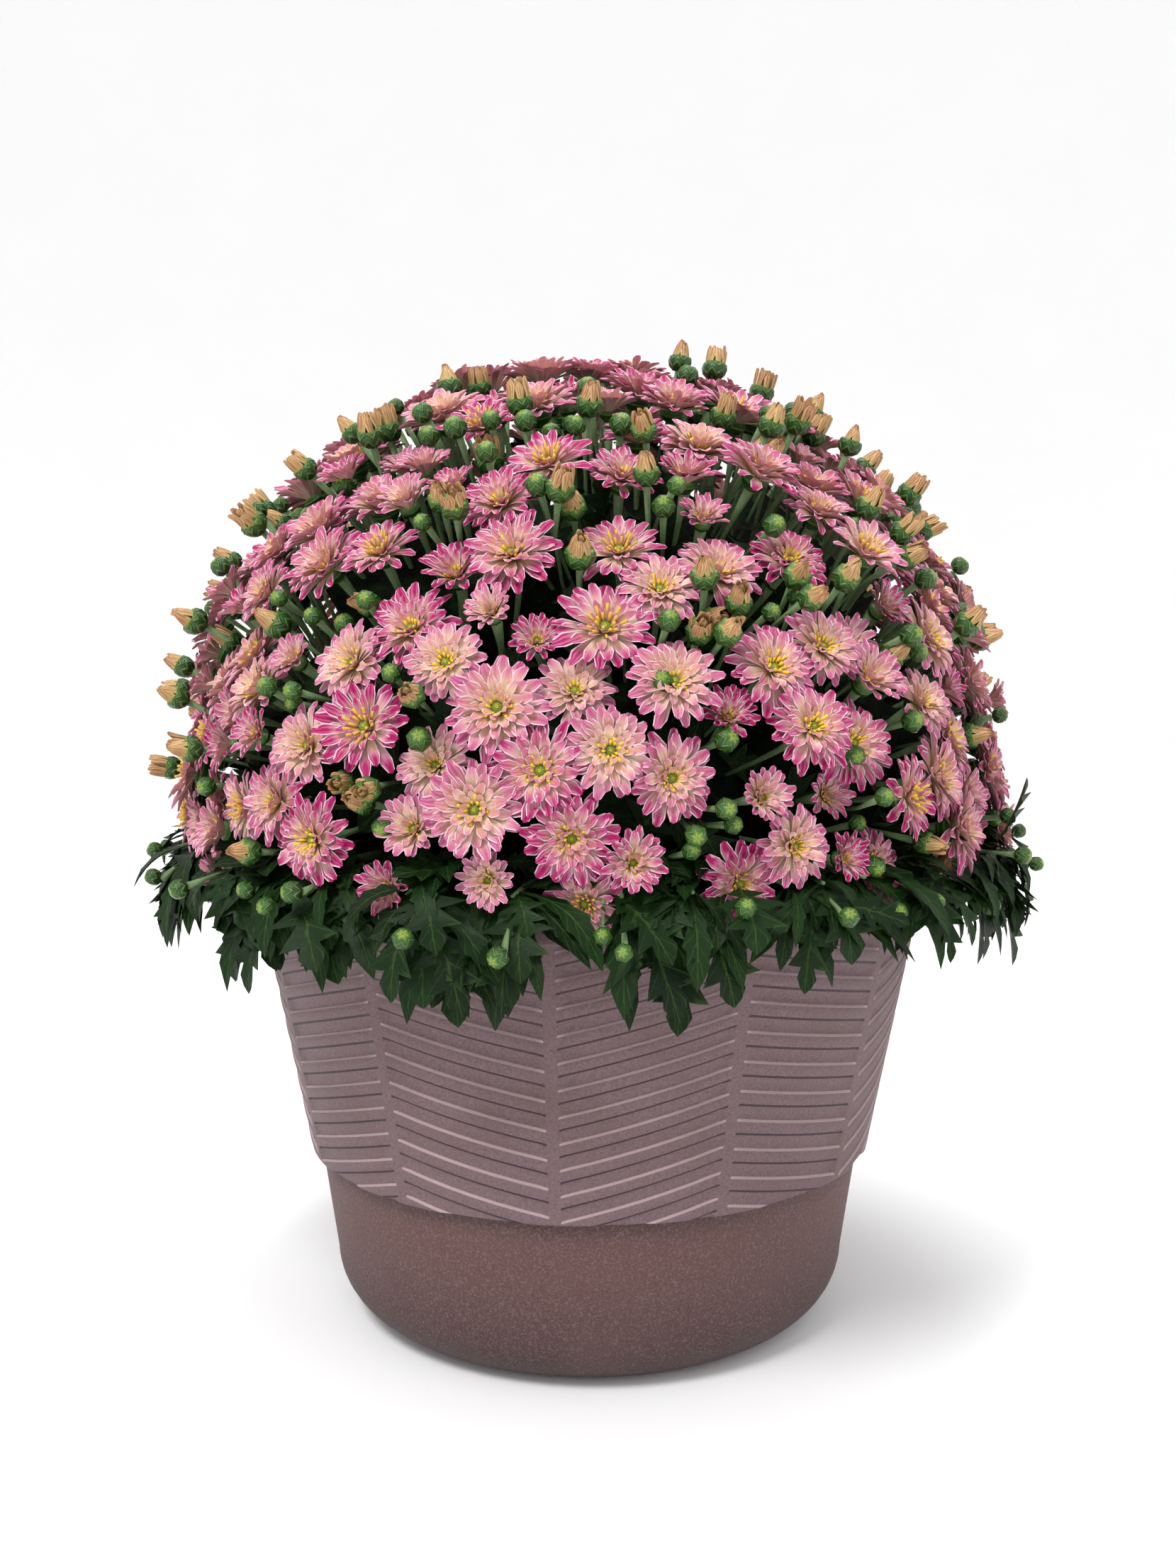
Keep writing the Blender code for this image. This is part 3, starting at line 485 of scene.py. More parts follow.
def leaf_point(leaf, across, along, rise=0.0):
    """A point of the leaf: along its drooping midrib, out across it and up from its folded face."""
    start, end, length = leaf["start_way"], leaf["end_way"], leaf["length"]
    centre = leaf["base"] + length * (start * along + (end - start) * (along * along / 2))
    ahead = (start + (end - start) * along).normalized()
    side = ahead.cross(leaf["up"]).normalized()
    face = side.cross(ahead)
    return centre + side * (across * length) + face * (LEAF_FOLD * abs(across) * length + rise)


def blade_off(points, middle, blooms, test, margin):
    """Whether a blade's points keep off the pot and, by a test with a margin, off the blooms round it."""
    if not all(off_pot(point) for point in points):
        return False
    close = near(blooms, middle, BLADE_REACH)
    return not any(test(point, bloom, margin) for point in points for bloom in close)


def leaf_clear(leaf, k, cells, blooms):
    """Whether the whole blade stays in its stem's cell, and off the blooms and the pot."""
    outline = leaf_outline(leaf)
    inner = [(x * 0.6, LEAF_MIDDLE + (y - LEAF_MIDDLE) * 0.6) for x, y in outline]
    points = [leaf_point(leaf, x, y) for x, y in [*outline, *inner, (0, LEAF_MIDDLE), (0, 0.3)]]
    if min(cell_margin(point, k, cells) for point in points) < CELL_GAP:
        return False
    return blade_off(points, points[-2], blooms, inside_bloom, LEAF_CLEAR)


def off_pot(point):
    """Whether a point is clear of the pot's lip and wall and of the mix."""
    out = math.hypot(point.x, point.y)
    lowest = LIP_TOP + TOP_CLEAR if out > LIP_INSIDE else MIX_TOP + MIX_CLEAR
    return out > LIP_RADIUS + SIDE_CLEAR or point.z > lowest


def plan_stems(cells):
    """Each leafy stem's main route, from its hole in the mix to its fork."""
    stems = []
    for k, cell in enumerate(cells):
        flat = level(cell)
        foot, bend, fork, bend_height, fork_height = ROUTES[ring_of(k)]
        path = [flat * foot + UP * z for z in (MIX_TOP - HOLE_DEPTH + SEAT, MIX_TOP + MIX_CLEAR)]
        stems.append(path + [flat * bend + UP * bend_height, flat * fork + UP * fork_height])
    return stems


def bloom_seat(bloom):
    """Where a flower stalk ends: just under the bloom's base."""
    return bloom["centre"] - bloom["axis"] * (BLOOM_DEPTH * bloom["radius"] + SEAT)


def core_room(point, k, cells):
    """Distance by which a point is inside the room for a stem's leafy middle, negative outside it."""
    in_dome = CORE_RADIUS - (point - DOME).length
    return min(cell_margin(point, k, cells) - CORE_GAP, in_dome, point.z - CORE_FLOOR)


def core_surface(core, middle, way):
    """A point a little under the leafy middle's skin, straight out from its centre."""
    return core.ray_cast(middle, way)[0] - way * CORE_SKIN


def core_mesh(k, cells, middle):
    """A stem's dense leafy middle: a faceted ball swelled until it nearly fills the room for it."""
    bm = bmesh.new()
    bmesh.ops.create_icosphere(bm, subdivisions=1, radius=1)
    for vert in bm.verts:
        way, reach, step = vert.co.normalized(), 0.0, CORE_REACH
        while step > CORE_STEP:
            step /= 2
            if core_room(middle + way * (reach + step), k, cells) > 0:
                reach += step
        vert.co = middle + way * reach
    return bm


def way_clear(path, blooms, skip=None):
    """Whether a thin stalk along the path keeps off every bloom but the one it carries."""
    marks = [first.lerp(second, t / 6) for first, second in zip(path, path[1:]) for t in range(7)]
    others = [b for b in near(blooms, path[-1], STALK_REACH) if b is not skip]
    return not any(inside_bloom(mark, b, STALK_CLEAR) for mark in marks for b in others)


def plan_stalks(draw, cells, blooms, stems):
    """One flower stalk for each spray, to the bloom that lies best inside a cell: (cell, path)."""
    stalks = []
    for spray in range(SPRAYS):
        members = [b for b in blooms if b["spray"] == spray]
        seats = [bloom_seat(b) for b in members]
        choices = [(cell_margin(s, k, cells), k, i) for i, s in enumerate(seats) for k in range(len(cells))]
        _, k, pick = max(choices)
        bloom, seat = members[pick], seats[pick]
        fork = up_stem(stems[k], draw.uniform(*FORK_SHARE))
        for drop, share in STALK_BENDS:
            path = [fork, (seat - bloom["axis"] * drop).lerp(fork, share), seat]
            if way_clear(path, blooms, bloom):
                break
        stalks.append((k, path))
    return stalks


def outer_stems(cells):
    """The stems of the outer ring, each as its number and its turn from the front."""
    return [(k, math.atan2(cell.x, -cell.y)) for k, cell in enumerate(cells) if ring_of(k) == 2]


def shoot_path(stem, turn, spots):
    """A side shoot: from the stem out through spots, each a distance from the axis and a height."""
    flat = level_way(turn)
    return [up_stem(stem, SHOOT_START)] + [flat * out + UP * z for out, z in spots]


def plan_shoots(cells, stems, blooms):
    """Low side shoots of the outer stems, which carry the leaves that hang over the lip: (cell, path)."""
    shoots = []
    for k, around in outer_stems(cells):
        for turn in SHOOT_TURNS:
            for nudge in SHOOT_NUDGES:
                path = shoot_path(stems[k], around + math.radians(turn + nudge), SHOOT_SPOTS)
                inside = min(cell_margin(point, k, cells) for point in path) > SHOOT_ROOM
                if inside and way_clear(path, blooms):
                    shoots.append((k, path))
                    break
    return shoots


def leaf_facts(base, start, end, up, length, lobed, slim=0.92):
    """A leaf as a dict: its base, the ways it points at base and tip, its face, length, kind and width."""
    ways = {"start_way": start.normalized(), "end_way": end.normalized(), "up": up.normalized()}
    return {**ways, "base": base, "length": length, "lobed": lobed, "slim": slim}


def skirt_leaf(draw, path, found):
    """A leaf that arches out from a side shoot and hangs over the lip."""
    outward = level(path[-1])
    sideways = outward.cross(UP)
    turn = draw.uniform(-1.0, 1.0)
    start = outward + sideways * turn * 0.9 + UP * draw.uniform(-0.3, 0.2)
    end = outward * draw.uniform(-0.1, 0.5) + sideways * turn * 0.6 - UP
    base = path[1].lerp(path[2], 0.92 - 0.37 * found)
    return leaf_facts(base, start, end, outward * 0.6 + UP, draw.uniform(*SKIRT_LENGTH), draw.random() < 0.6)


def inner_leaf(draw, core, path):
    """A leaf that stands out of the leafy middle, beside a flower stalk."""
    outward = (from_dome(path[1]) + scatter(draw) * 0.5).normalized()
    start = outward + scatter(draw)
    end = start.normalized() + outward * 0.3 - UP * 0.4
    base = core_surface(core, path[0], outward)
    return leaf_facts(base, start, end, outward + UP * 0.5, draw.uniform(*INNER_LENGTH), draw.random() < 0.7)


def plan_leaves(draw, cells, cores, blooms, stalks, shoots):
    """Leaves at seeded places on the shoots and beside the stalks, kept where the whole blade is clear."""
    leaves = []
    for k, path in shoots:
        found = 0
        for _ in range(TRIES):
            leaf = {"cell": k, **skirt_leaf(draw, path, found)}
            if found < SKIRT_LEAVES and leaf_clear(leaf, k, cells, blooms):
                leaves.append(leaf)
                found += 1
    for k, path in stalks:
        waiting = draw.random() < STALK_LEAF_SHARE
        for _ in range(TRIES):
            leaf = {"cell": k, **inner_leaf(draw, cores[k], path)}
            middle = leaf_point(leaf, 0, LEAF_MIDDLE)
            crowded = any((middle - leaf_point(o, 0, LEAF_MIDDLE)).length < LEAF_SPACING for o in leaves)
            if waiting and not crowded and leaf_clear(leaf, k, cells, blooms):
                leaves.append(leaf)
                waiting = False
    return leaves


def draw_bud(draw, core, path):
    """A bud on its own stalk, which stands out to the dome of blooms: its start, end, direction and size."""
    outward = (from_dome(path[1]) + scatter(draw) * 0.5).normalized()
    base = core_surface(core, path[0], outward)
    way = (from_dome(base) + scatter(draw) * 0.45).normalized()
    half_open = draw.random() < HALF_OPEN_SHARE
    radius = HALF_OPEN_RADIUS if half_open else draw.uniform(*BUD_RADIUS)
    reach, offset = draw.uniform(*BUD_REACH), base - DOME
    along = offset.dot(way)
    length = math.sqrt(along * along - offset.length_squared + reach * reach) - along
    tip = base + way * length
    return {"base": base, "tip": tip, "way": way, "radius": radius, "half_open": half_open, "length": length}


def bud_clear(bud, k, cells, blooms, buds):
    """Whether a bud and its stalk stay in their cell, over the pot, and off the blooms and other buds."""
    radius, tip = bud["radius"], bud["tip"]
    marks = [bud["base"].lerp(tip, t) for t in (0.3, 0.5, 0.65, 0.8, 0.9, 1.0)] + [tip + bud["way"] * radius]
    if bud["length"] > BUD_STALK_LIMIT or min(mark.z for mark in marks) < BUD_LOWEST:
        return False
    if min(cell_margin(mark, k, cells) for mark in marks) < radius + CELL_GAP:
        return False
    if any((tip - other["tip"]).length < BUD_SPACING for other in buds):
        return False
    margins = [BUD_STALK_CLEAR] * 4 + [radius + BUD_CLEAR] * 3
    close = near(blooms, tip, BUD_NEAR)
    return not any(inside_bloom(mark, b, margin) for mark, margin in zip(marks, margins) for b in close)


def plan_buds(draw, cells, cores, blooms, stalks):
    """Buds on their own stalks between the blooms, one beside each flower stalk that has room for it."""
    buds = []
    for k, path in stalks:
        for _ in range(TRIES):
            bud = {"cell": k, **draw_bud(draw, cores[k], path)}
            if bud_clear(bud, k, cells, blooms, buds):
                buds.append(bud)
                break
    return buds


def wall_radius(height):
    """The outer wall's radius in the band, at a height."""
    share = (height - BAND_FOOT) / (LIP_TOP - LIP_HEIGHT - BAND_FOOT)
    return BAND_FOOT_RADIUS + (BAND_TOP_RADIUS - BAND_FOOT_RADIUS) * share


def cavity_radius(height):
    """The radius of the pot's inside at a height above the rounded base."""
    low, high = BAND_FOOT_RADIUS - STEP_IN - WALL, BAND_TOP_RADIUS - WALL
    return low + (high - low) * (height - BAND_FOOT) / (LIP_TOP - LIP_HEIGHT - BAND_FOOT)


def cavity_profile(slack, top):
    """The space inside the pot, up to a height, drawn in by some slack."""
    low = BASE_ARC_TOP_RADIUS - BASE_ARC + BASE_INSET
    walls = [(cavity_radius(height), height) for height in (top, BAND_FOOT)]
    walls.append((BASE_ARC_TOP_RADIUS - WALL, BASE_ARC))
    profile = [(0, top)] + [(radius - slack, height) for radius, height in walls]
    return profile + [(low - slack, FLOOR + slack), (0, FLOOR + slack)]


def bend_through(path, spans):
    """Points along one smooth bend from the first point to the last, which leans to those between."""
    points = []
    for step in range(spans + 1):
        row = list(path)
        while len(row) > 1:
            row = [a.lerp(b, step / spans) for a, b in zip(row, row[1:])]
        points.append(row[0])
    return points


def nearest_cell(point, cells):
    """The stem whose cell a point lies in."""
    way = (point - STEM_APEX).normalized()
    return max(range(len(cells)), key=lambda k: way.dot(cells[k]))


def random_way(draw, lowest):
    """A direction from the dome's centre, evenly spread down to a height share."""
    height, around = draw.uniform(lowest, 1.0), draw.uniform(0, math.tau)
    flat = math.sqrt(1 - height * height)
    return Vector((flat * math.sin(around), -flat * math.cos(around), height))


def plan_more_blooms(draw, blooms):
    """The planned blooms, and further ones in the wider gaps of the dome, each in the spray beside it."""
    found = list(blooms)
    for _ in range(BLOOM_TRIES):
        way, young = random_way(draw, -0.18), draw.random() < MORE_YOUNG
        radius = BLOOM_RADIUS * (draw.uniform(0.62, 0.82) if young else draw.uniform(0.84, 1.04))
        centre = DOME + way * draw.uniform(*MORE_BLOOM_REACH)
        closest = min(found, key=lambda b: (b["centre"] - centre).length - CLOSE_BLOOMS * b["radius"])
        apart = (closest["centre"] - centre).length
        low = centre.z < MORE_BLOOM_LOWEST + draw.uniform(0, MORE_BLOOM_FRINGE)
        if low or apart < CLOSE_BLOOMS * (closest["radius"] + radius):
            continue
        axis = (way + UP * draw.uniform(0.0, 0.3) + scatter(draw) * 0.16).normalized()
        opened = YOUNG_OPEN if young else draw.uniform(*OPENNESS)
        facts = {"centre": centre, "radius": radius, "axis": axis, "open": opened}
        found.append({**facts, "index": len(found), "spray": closest["spray"], "toward": UP})
    return found


def plan_bloom_stalks(draw, cells, blooms, stems, stalks):
    """A flower stalk for every bloom: the planned ones, and one from the nearest fork for the others."""
    found = []
    for bloom in blooms:
        seat = bloom_seat(bloom)
        same = [(k, path) for k, path in stalks if (path[-1] - seat).length < 1e-6]
        if same:
            found.append(same[0])
            continue
        k = nearest_cell(seat, cells)
        fork = up_stem(stems[k], draw.uniform(0.6, 0.98))
        bend = (seat - bloom["axis"] * draw.uniform(0.024, 0.036)).lerp(fork, 0.15)
        found.append((k, [fork, bend, seat]))
    return found


def plan_more_shoots(draw, cells, stems, shoots):
    """The planned side shoots and further ones between them, low over the lip."""
    found = list(shoots)
    for k, around in outer_stems(cells):
        for turn in MORE_SHOOTS:
            way = around + math.radians(turn + draw.uniform(-3, 3))
            bend = (MORE_SHOOT_BEND, draw.uniform(*MORE_SHOOT_RISE))
            spots = [bend, (draw.uniform(*MORE_SHOOT_END), draw.uniform(*MORE_SHOOT_DROOP))]
            found.append((k, shoot_path(stems[k], way, spots)))
    return found


def shoot_bud(draw, k, path):
    """A small bud at the end of a side shoot, among the leaves that hang over the lip."""
    outward = level(path[-1])
    way = (outward + scatter(draw) * 0.5 + UP * draw.uniform(-0.5, 0.4)).normalized()
    foot = path[-1] + outward * draw.uniform(0.010, 0.018) - UP * draw.uniform(0.0, 0.018)
    radius = draw.uniform(*SHOOT_BUD_RADIUS)
    tip = foot + way * radius
    bud = {"cell": k, "tip": tip, "way": way, "radius": radius, "half_open": False}
    return {**bud, "path": [*path[1:], foot]}


def spare_bud(draw, cells, stems):
    """A bud at a random place of the dome, on a stalk that bends up from the nearest stem's fork."""
    way = random_way(draw, -0.16)
    tip = DOME + way * draw.uniform(*MORE_REACH)
    lean = (way + scatter(draw) * 0.28 + UP * 0.12).normalized()
    k = nearest_cell(tip, cells)
    half_open = draw.random() < MORE_HALF_OPEN
    radius = draw.uniform(*(MORE_HALF_RADIUS if half_open else MORE_BUD_RADIUS))
    fork = up_stem(stems[k], draw.uniform(0.5, 0.95))
    foot = tip - lean * radius
    path = [fork, foot - lean * draw.uniform(*MORE_BUD_BEND), foot]
    return {"cell": k, "tip": tip, "way": lean, "radius": radius, "half_open": half_open, "path": path}


def spare_bud_clear(bud, blooms, buds):
    """Whether a further bud and its stalk's outer end keep off the blooms, the pot and the other buds."""
    radius, tip = bud["radius"], bud["tip"]
    if tip.z - radius < BUD_LOWEST or any((tip - other["tip"]).length < CLOSE_BUDS for other in buds):
        return False
    close = near(blooms, tip, MORE_BUD_NEAR)
    if any(inside_bloom(tip + bud["way"] * (radius * t), b, radius * 0.8) for t in (0, 1) for b in close):
        return False
    marks = bend_through(bud["path"], 8)[3:]
    return not any(inside_bloom(mark, b, BUD_CLEAR) for mark in marks for b in close)


def plan_more_buds(draw, cells, stems, shoots, blooms, buds):
    """The planned buds on stalks from a fork, further ones between the blooms and some over the lip."""
    found = []
    for bud in buds:
        path = [stems[bud["cell"]][-1], bud["base"], bud["tip"] - bud["way"] * bud["radius"]]
        found.append({**bud, "path": path})
    for _ in range(BUD_TRIES):
        bud = spare_bud(draw, cells, stems)
        if len(found) < len(buds) + MORE_BUDS and spare_bud_clear(bud, blooms, found):
            found.append(bud)
    for k, path in shoots[::2]:
        bud = shoot_bud(draw, k, path)
        if not any(in_petals(bud["tip"], bloom, bud["radius"]) for bloom in blooms):
            found.append(bud)
    return found


def in_petals(point, bloom, margin):
    """Whether a point is in a bloom's own form: a shallow cone under it and its rows of petals."""
    (height, across), radius = bloom_spot(point, bloom), bloom["radius"]
    floor = -BLOOM_DEPTH * radius * max(0.0, 1 - across / radius) - margin - 0.001
    top = (PETAL_RISE + CUP_RISE * (1 - bloom["open"])) * radius + margin
    return across < radius + margin and floor < height < top


def blade_clear(leaf, blooms):
    """Whether a leaf's outline keeps off the blooms and the pot."""
    points = [leaf_point(leaf, x, y) for x, y in [*leaf_outline(leaf), (0, 0.3), (0, 0.6)]]
    return blade_off(points, points[-1], blooms, in_petals, BLADE_CLEAR)


def stalk_leaf(draw, path):
    """A leaf that grows from a stalk, between the blooms and the forks."""
    base = bend_through(path, 20)[draw.randrange(5, 17)]
    outward = from_dome(base)
    start = outward * 0.5 + scatter(draw)
    end = start.normalized() + outward * draw.uniform(0.0, 0.5) - UP * 0.3
    size = (draw.uniform(*STALK_LENGTH), draw.random() < 0.6, draw.uniform(0.7, 0.95))
    return leaf_facts(base, start, end, outward + UP * 0.4, *size)


def cover_leaf(draw, path):
    """A leaf that spreads sideways from a stalk, under the blooms."""
    base = bend_through(path, 20)[draw.randrange(8, 16)]
    outward, aside = from_dome(base), scatter(draw)
    aside = (aside - outward * aside.dot(outward)).normalized()
    start = aside + outward * draw.uniform(0.2, 0.7)
    end = aside - outward * draw.uniform(-0.1, 0.3) - UP * 0.2
    up = outward + scatter(draw) * 0.2
    size = (draw.uniform(*COVER_LENGTH), draw.random() < 0.8, draw.uniform(0.75, 1.0))
    return leaf_facts(base, start, end, up, *size)


def hanging_leaf(draw, path):
    """A narrow leaf that droops from a side shoot, close over the lip."""
    leaf, outward = skirt_leaf(draw, path, draw.uniform(-0.2, 0.9)), level(path[-1])
    aside = outward.cross(UP) * draw.uniform(-1.4, 1.4)
    leaf["start_way"] = (outward * draw.uniform(0.2, 1.0) + aside - UP * draw.uniform(-0.3, 0.8)).normalized()
    leaf["end_way"] = (outward * draw.uniform(-0.2, 0.2) + aside * 0.6 - UP).normalized()
    leaf["length"] = HANGING_LENGTH + HANGING_MORE * draw.random()
    leaf["lobed"] = draw.random() < 0.5
    leaf["slim"] = draw.uniform(0.6, 0.95)
    return leaf


def fill_leaf(draw, path):
    """A leaf that fans out or up from a side shoot, between the lip and the lowest blooms."""
    leaf, outward = skirt_leaf(draw, path, draw.uniform(0.0, 2.6)), level(path[-1])
    aside = outward.cross(UP) * draw.uniform(-1.4, 1.4)
    leaf["start_way"] = (outward + aside + UP * draw.uniform(0.1, 1.0)).normalized()
    leaf["end_way"] = (outward + aside - UP * draw.uniform(0.0, 0.9)).normalized()
    leaf["length"] = draw.uniform(*FILL_LENGTH)
    leaf["slim"] = draw.uniform(0.7, 1.0)
    return leaf


def plan_more_leaves(draw, blooms, stalks, buds, shoots, leaves):
    """The planned leaves, more of them over the lip, and the leaves of the stalks."""
    found = list(leaves)
    for k, path in shoots:
        for grow, most in ((hanging_leaf, SKIRT_MORE), (fill_leaf, FILL_MORE)):
            count = 0
            for _ in range(SKIRT_TRIES):
                leaf = {"cell": k, **grow(draw, path)}
                short = leaf_point(leaf, 0, 1).xy.length < LEAF_LIMIT
                if count < most and short and blade_clear(leaf, blooms):
                    found.append(leaf)
                    count += 1
    for k, path in stalks + [(bud["cell"], bud["path"]) for bud in buds]:
        waiting = draw.random() < STALK_MORE
        for _ in range(8):
            leaf = {"cell": k, **draw.choice((stalk_leaf, cover_leaf))(draw, path)}
            if waiting and blade_clear(leaf, blooms):
                found.append(leaf)
                waiting = False
    return found


def shape_layers(bm):
    """The attributes that the materials read: where a point lies on its blade, and the blade's own tint."""
    return bm.verts.layers.float_vector.new("blade"), bm.verts.layers.float_vector.new("tint")


def mesh_from(bm, name, *materials):
    """The form as a mesh with its materials."""
    mesh = bpy.data.meshes.new(name)
    bm.to_mesh(mesh)
    bm.free()
    for material in materials:
        mesh.materials.append(material)
    return mesh


def to_mesh(name, bm, slot=0):
    """The mesh of a form, smooth but for its marked edges, with one material slot for all its faces."""
    bmesh.ops.recalc_face_normals(bm, faces=bm.faces)
    for face in bm.faces:
        face.smooth = True
        face.material_index = slot
    return mesh_from(bm, name)


def blade_form(name, rings, slot):
    """A blade laid flat, from a ball of four sides whose rings become its outline: X across, Y along."""
    bm = bmesh.new()
    blade, _ = shape_layers(bm)
    count = len(rings)
    bmesh.ops.create_uvsphere(bm, u_segments=4, v_segments=count + 1, radius=1)
    rows = [(0.0, 0.0, 0.0), *rings, (1.0, 1.0, 0.0)]
    for vert in bm.verts:
        k = round(math.acos(max(-1.0, min(1.0, vert.co.z))) * (count + 1) / math.pi)
        out = math.hypot(vert.co.x, vert.co.y) or 1.0
        across, side = (round(vert.co.x / out), round(vert.co.y / out)) if 0 < k <= count else (0, 0)
        middle, edge, half = rows[k]
        vert.co = Vector((across * half, edge if across else middle, side))
        vert[blade] = Vector((across, vert.co.y, side))
    for edge in bm.edges:
        edge.smooth = not all(v[blade].z == 0 for v in edge.verts)
    return to_mesh(name, bm, slot)


def quill_form(slot):
    """A short open-mouthed floret, in the same flat space as a petal."""
    bm = bmesh.new()
    blade, _ = shape_layers(bm)
    bmesh.ops.create_cone(bm, cap_ends=True, segments=QUILL_SIDES, radius1=0.45, radius2=1, depth=1)
    for vert in bm.verts:
        x, y, z = vert.co
        vert.co = vert[blade] = Vector((x, z + 0.5, y))
    return to_mesh("quill", bm, slot)


def ball_form(name, slot, segments, profile):
    """A closed round form along a profile of (height, radius), with its ribs raised and sunk by turns."""
    bm = bmesh.new()
    blade, _ = shape_layers(bm)
    rings = len(profile) - 1
    bmesh.ops.create_uvsphere(bm, u_segments=segments, v_segments=rings, radius=1)
    for vert in bm.verts:
        k = round(math.acos(max(-1.0, min(1.0, -vert.co.z))) * rings / math.pi)
        turn = math.atan2(vert.co.y, vert.co.x)
        height, radius = profile[k]
        rib = math.cos(turn * segments / 2) if radius > 0 else 0
        radius *= 1 + RIB_RELIEF * rib
        vert.co = Vector((radius * math.cos(turn), radius * math.sin(turn), height))
        vert[blade] = Vector((rib, k / rings, 0))
    return to_mesh(name, bm, slot)


def points_of(mesh):
    """The mesh's points as rows of an array."""
    found = np.empty(len(mesh.vertices) * 3, np.float32)
    mesh.vertices.foreach_get("co", found)
    return found.reshape(-1, 3).astype(float)


def bent(shape, blades):
    """Points of bent petals or quills round an axis, in shares of the radius. One row of blades a petal:
    length, width, thickness, foot radius, foot height, rise at foot and tip, turn, cup, roll, sway."""
    length, width, thick, foot, height, start, end, turn, cup, roll, sway = blades.T[:, :, None]
    across, along, side = (shape[None, :, i] for i in range(3))
    out = foot + length * (np.cos(start) * along + (np.cos(end) - np.cos(start)) * along**2 / 2)
    up = height + length * (np.sin(start) * along + (np.sin(end) - np.sin(start)) * along**2 / 2)
    aside, face = across * width / 2, cup * width * across**2 + side * thick
    twist = roll * along
    aside, face = aside * np.cos(twist) - face * np.sin(twist), aside * np.sin(twist) + face * np.cos(twist)
    aside = aside + sway * length * along**2
    rise = start + (end - start) * along
    out, up = out - face * np.sin(rise), up + face * np.cos(rise)
    x, y = out * np.cos(turn) - aside * np.sin(turn), out * np.sin(turn) + aside * np.cos(turn)
    return np.stack([x, y, up], axis=2).reshape(-1, 3)


def draw_layer(draw, layer, opening, offset):
    """The blades of one layer of petals, each a little off the even ring."""
    count, length, width, foot, height, start, end = layer
    rows = []
    for k in range(count):
        turn = math.tau * (k + offset + draw.uniform(-0.16, 0.16)) / count
        lift = draw.gauss(0, 5) + opening
        long, wide = length * draw.uniform(0.88, 1.06), width * draw.uniform(0.88, 1.08)
        size = (long, wide, PETAL_THICK, foot, height)
        rises = (math.radians(start + lift), math.radians(end + 1.2 * lift + draw.gauss(0, 5)))
        rows.append((*size, *rises, turn, draw.uniform(0.16, 0.34), draw.gauss(0, 0.22), draw.gauss(0, 0.05)))
    return rows


def draw_quills(draw, spread):
    """The ring of quilled florets round the eye, long and short by turns."""
    length, width, foot, height, start, end = QUILL
    rows = []
    for k in range(QUILLS):
        ring = k % 2
        long = length * (1 - 0.25 * ring) * draw.uniform(0.85, 1.1) * spread
        size = (long, width, width / 2, foot * (1.1 - 0.3 * ring), height)
        rises = [math.radians(start + 8 * ring + draw.gauss(0, 4))]
        rises.append(math.radians(end + 14 * ring + draw.gauss(0, 6)))
        rows.append((*size, *rises, math.tau * (k + draw.uniform(-0.2, 0.2)) / QUILLS, 0.0, 0.0, 0.0))
    return rows


def placed(form, points, tint):
    """A copy of a form with its points moved, and a tint for the whole or for each point."""
    mesh = form.copy()
    mesh.vertices.foreach_set("co", points.astype(np.float32).ravel())
    tints = np.broadcast_to(np.asarray(tint, np.float32), points.shape)
    mesh.attributes["tint"].data.foreach_set("vector", tints.ravel())
    return mesh


def framed(points, axis, side, radius, centre):
    """Points from a form's own space, in shares of a radius, to the place where it grows."""
    frame_ways = np.array([list(side), list(axis.cross(side)), list(axis)])
    return points @ frame_ways * radius + np.array(list(centre))


def draw_shut_petals(draw):
    """The closed petals of a half-open bud, two of every five in an inner row."""
    rows = []
    spread = draw.uniform(-4, 12)
    for k in range(SHUT_PETALS):
        shortest, longest, width, foot, start, end, part = SHUT_INNER if k % 5 in (2, 4) else SHUT_OUTER
        size = (draw.uniform(shortest, longest), width, 0.12, foot, -0.20)
        rises = [math.radians(start - part * spread + draw.gauss(0, 3))]
        rises.append(math.radians(end - 2 * part * spread + draw.gauss(0, 6)))
        turn = math.tau * (k + draw.uniform(-0.1, 0.1)) / SHUT_PETALS
        rows.append((*size, *rises, turn, 0.30, draw.gauss(0, 0.2), 0.0))
    return rows


def bloom_parts(draw, bloom, forms):
    """One open bloom: its layers of petals, quilled florets, eye and green cup."""
    young = bloom["open"] <= YOUNG_OPEN
    loose = not young and draw.random() < LOOSE_SHARE
    layers = YOUNG if young else LOOSE if loose else FULL
    opening = 0
    if not young:
        high = (bloom["centre"].z - CUP_HEIGHTS[0]) / CUP_HEIGHTS[1]
        opening = (1 - bloom["open"]) * 60 + CUP_LIFT * min(1.0, max(0.0, high))
    pale = draw.uniform(0, 1)
    rows, tints = [], []
    for k, layer in enumerate(layers):
        made = draw_layer(draw, layer, opening, 0.5 * (k % 2) + draw.uniform(-0.1, 0.1))
        rows += made
        depth = k / (len(FULL) - 1)
        tints += [(depth, draw.random(), pale) for _ in made]
    side = bloom["axis"].orthogonal().normalized()
    place = (bloom["axis"], side, bloom["radius"] * BLOOM_SCALE, bloom["centre"])
    points = framed(bent(forms["petal_shape"], np.array(rows)), *place)
    each = len(forms["petal_shape"])
    parts = [placed(forms["petals", len(rows)], points, np.repeat(np.array(tints), each, axis=0))]
    rows = draw_quills(draw, LOOSE_SPREAD if loose else 1.0)
    tone = (1.0 if loose else 0.0, draw.random(), pale)
    parts.append(placed(forms["quills"], framed(bent(forms["quill_shape"], np.array(rows)), *place), tone))
    for name in ("eye", "cup"):
        parts.append(placed(forms[name], framed(points_of(forms[name]), *place), tone))
    return parts


def many(form, count):
    """A form repeated, one copy after the other."""
    bm = bmesh.new()
    for _ in range(count):
        bm.from_mesh(form)
    return mesh_from(bm, form.name)


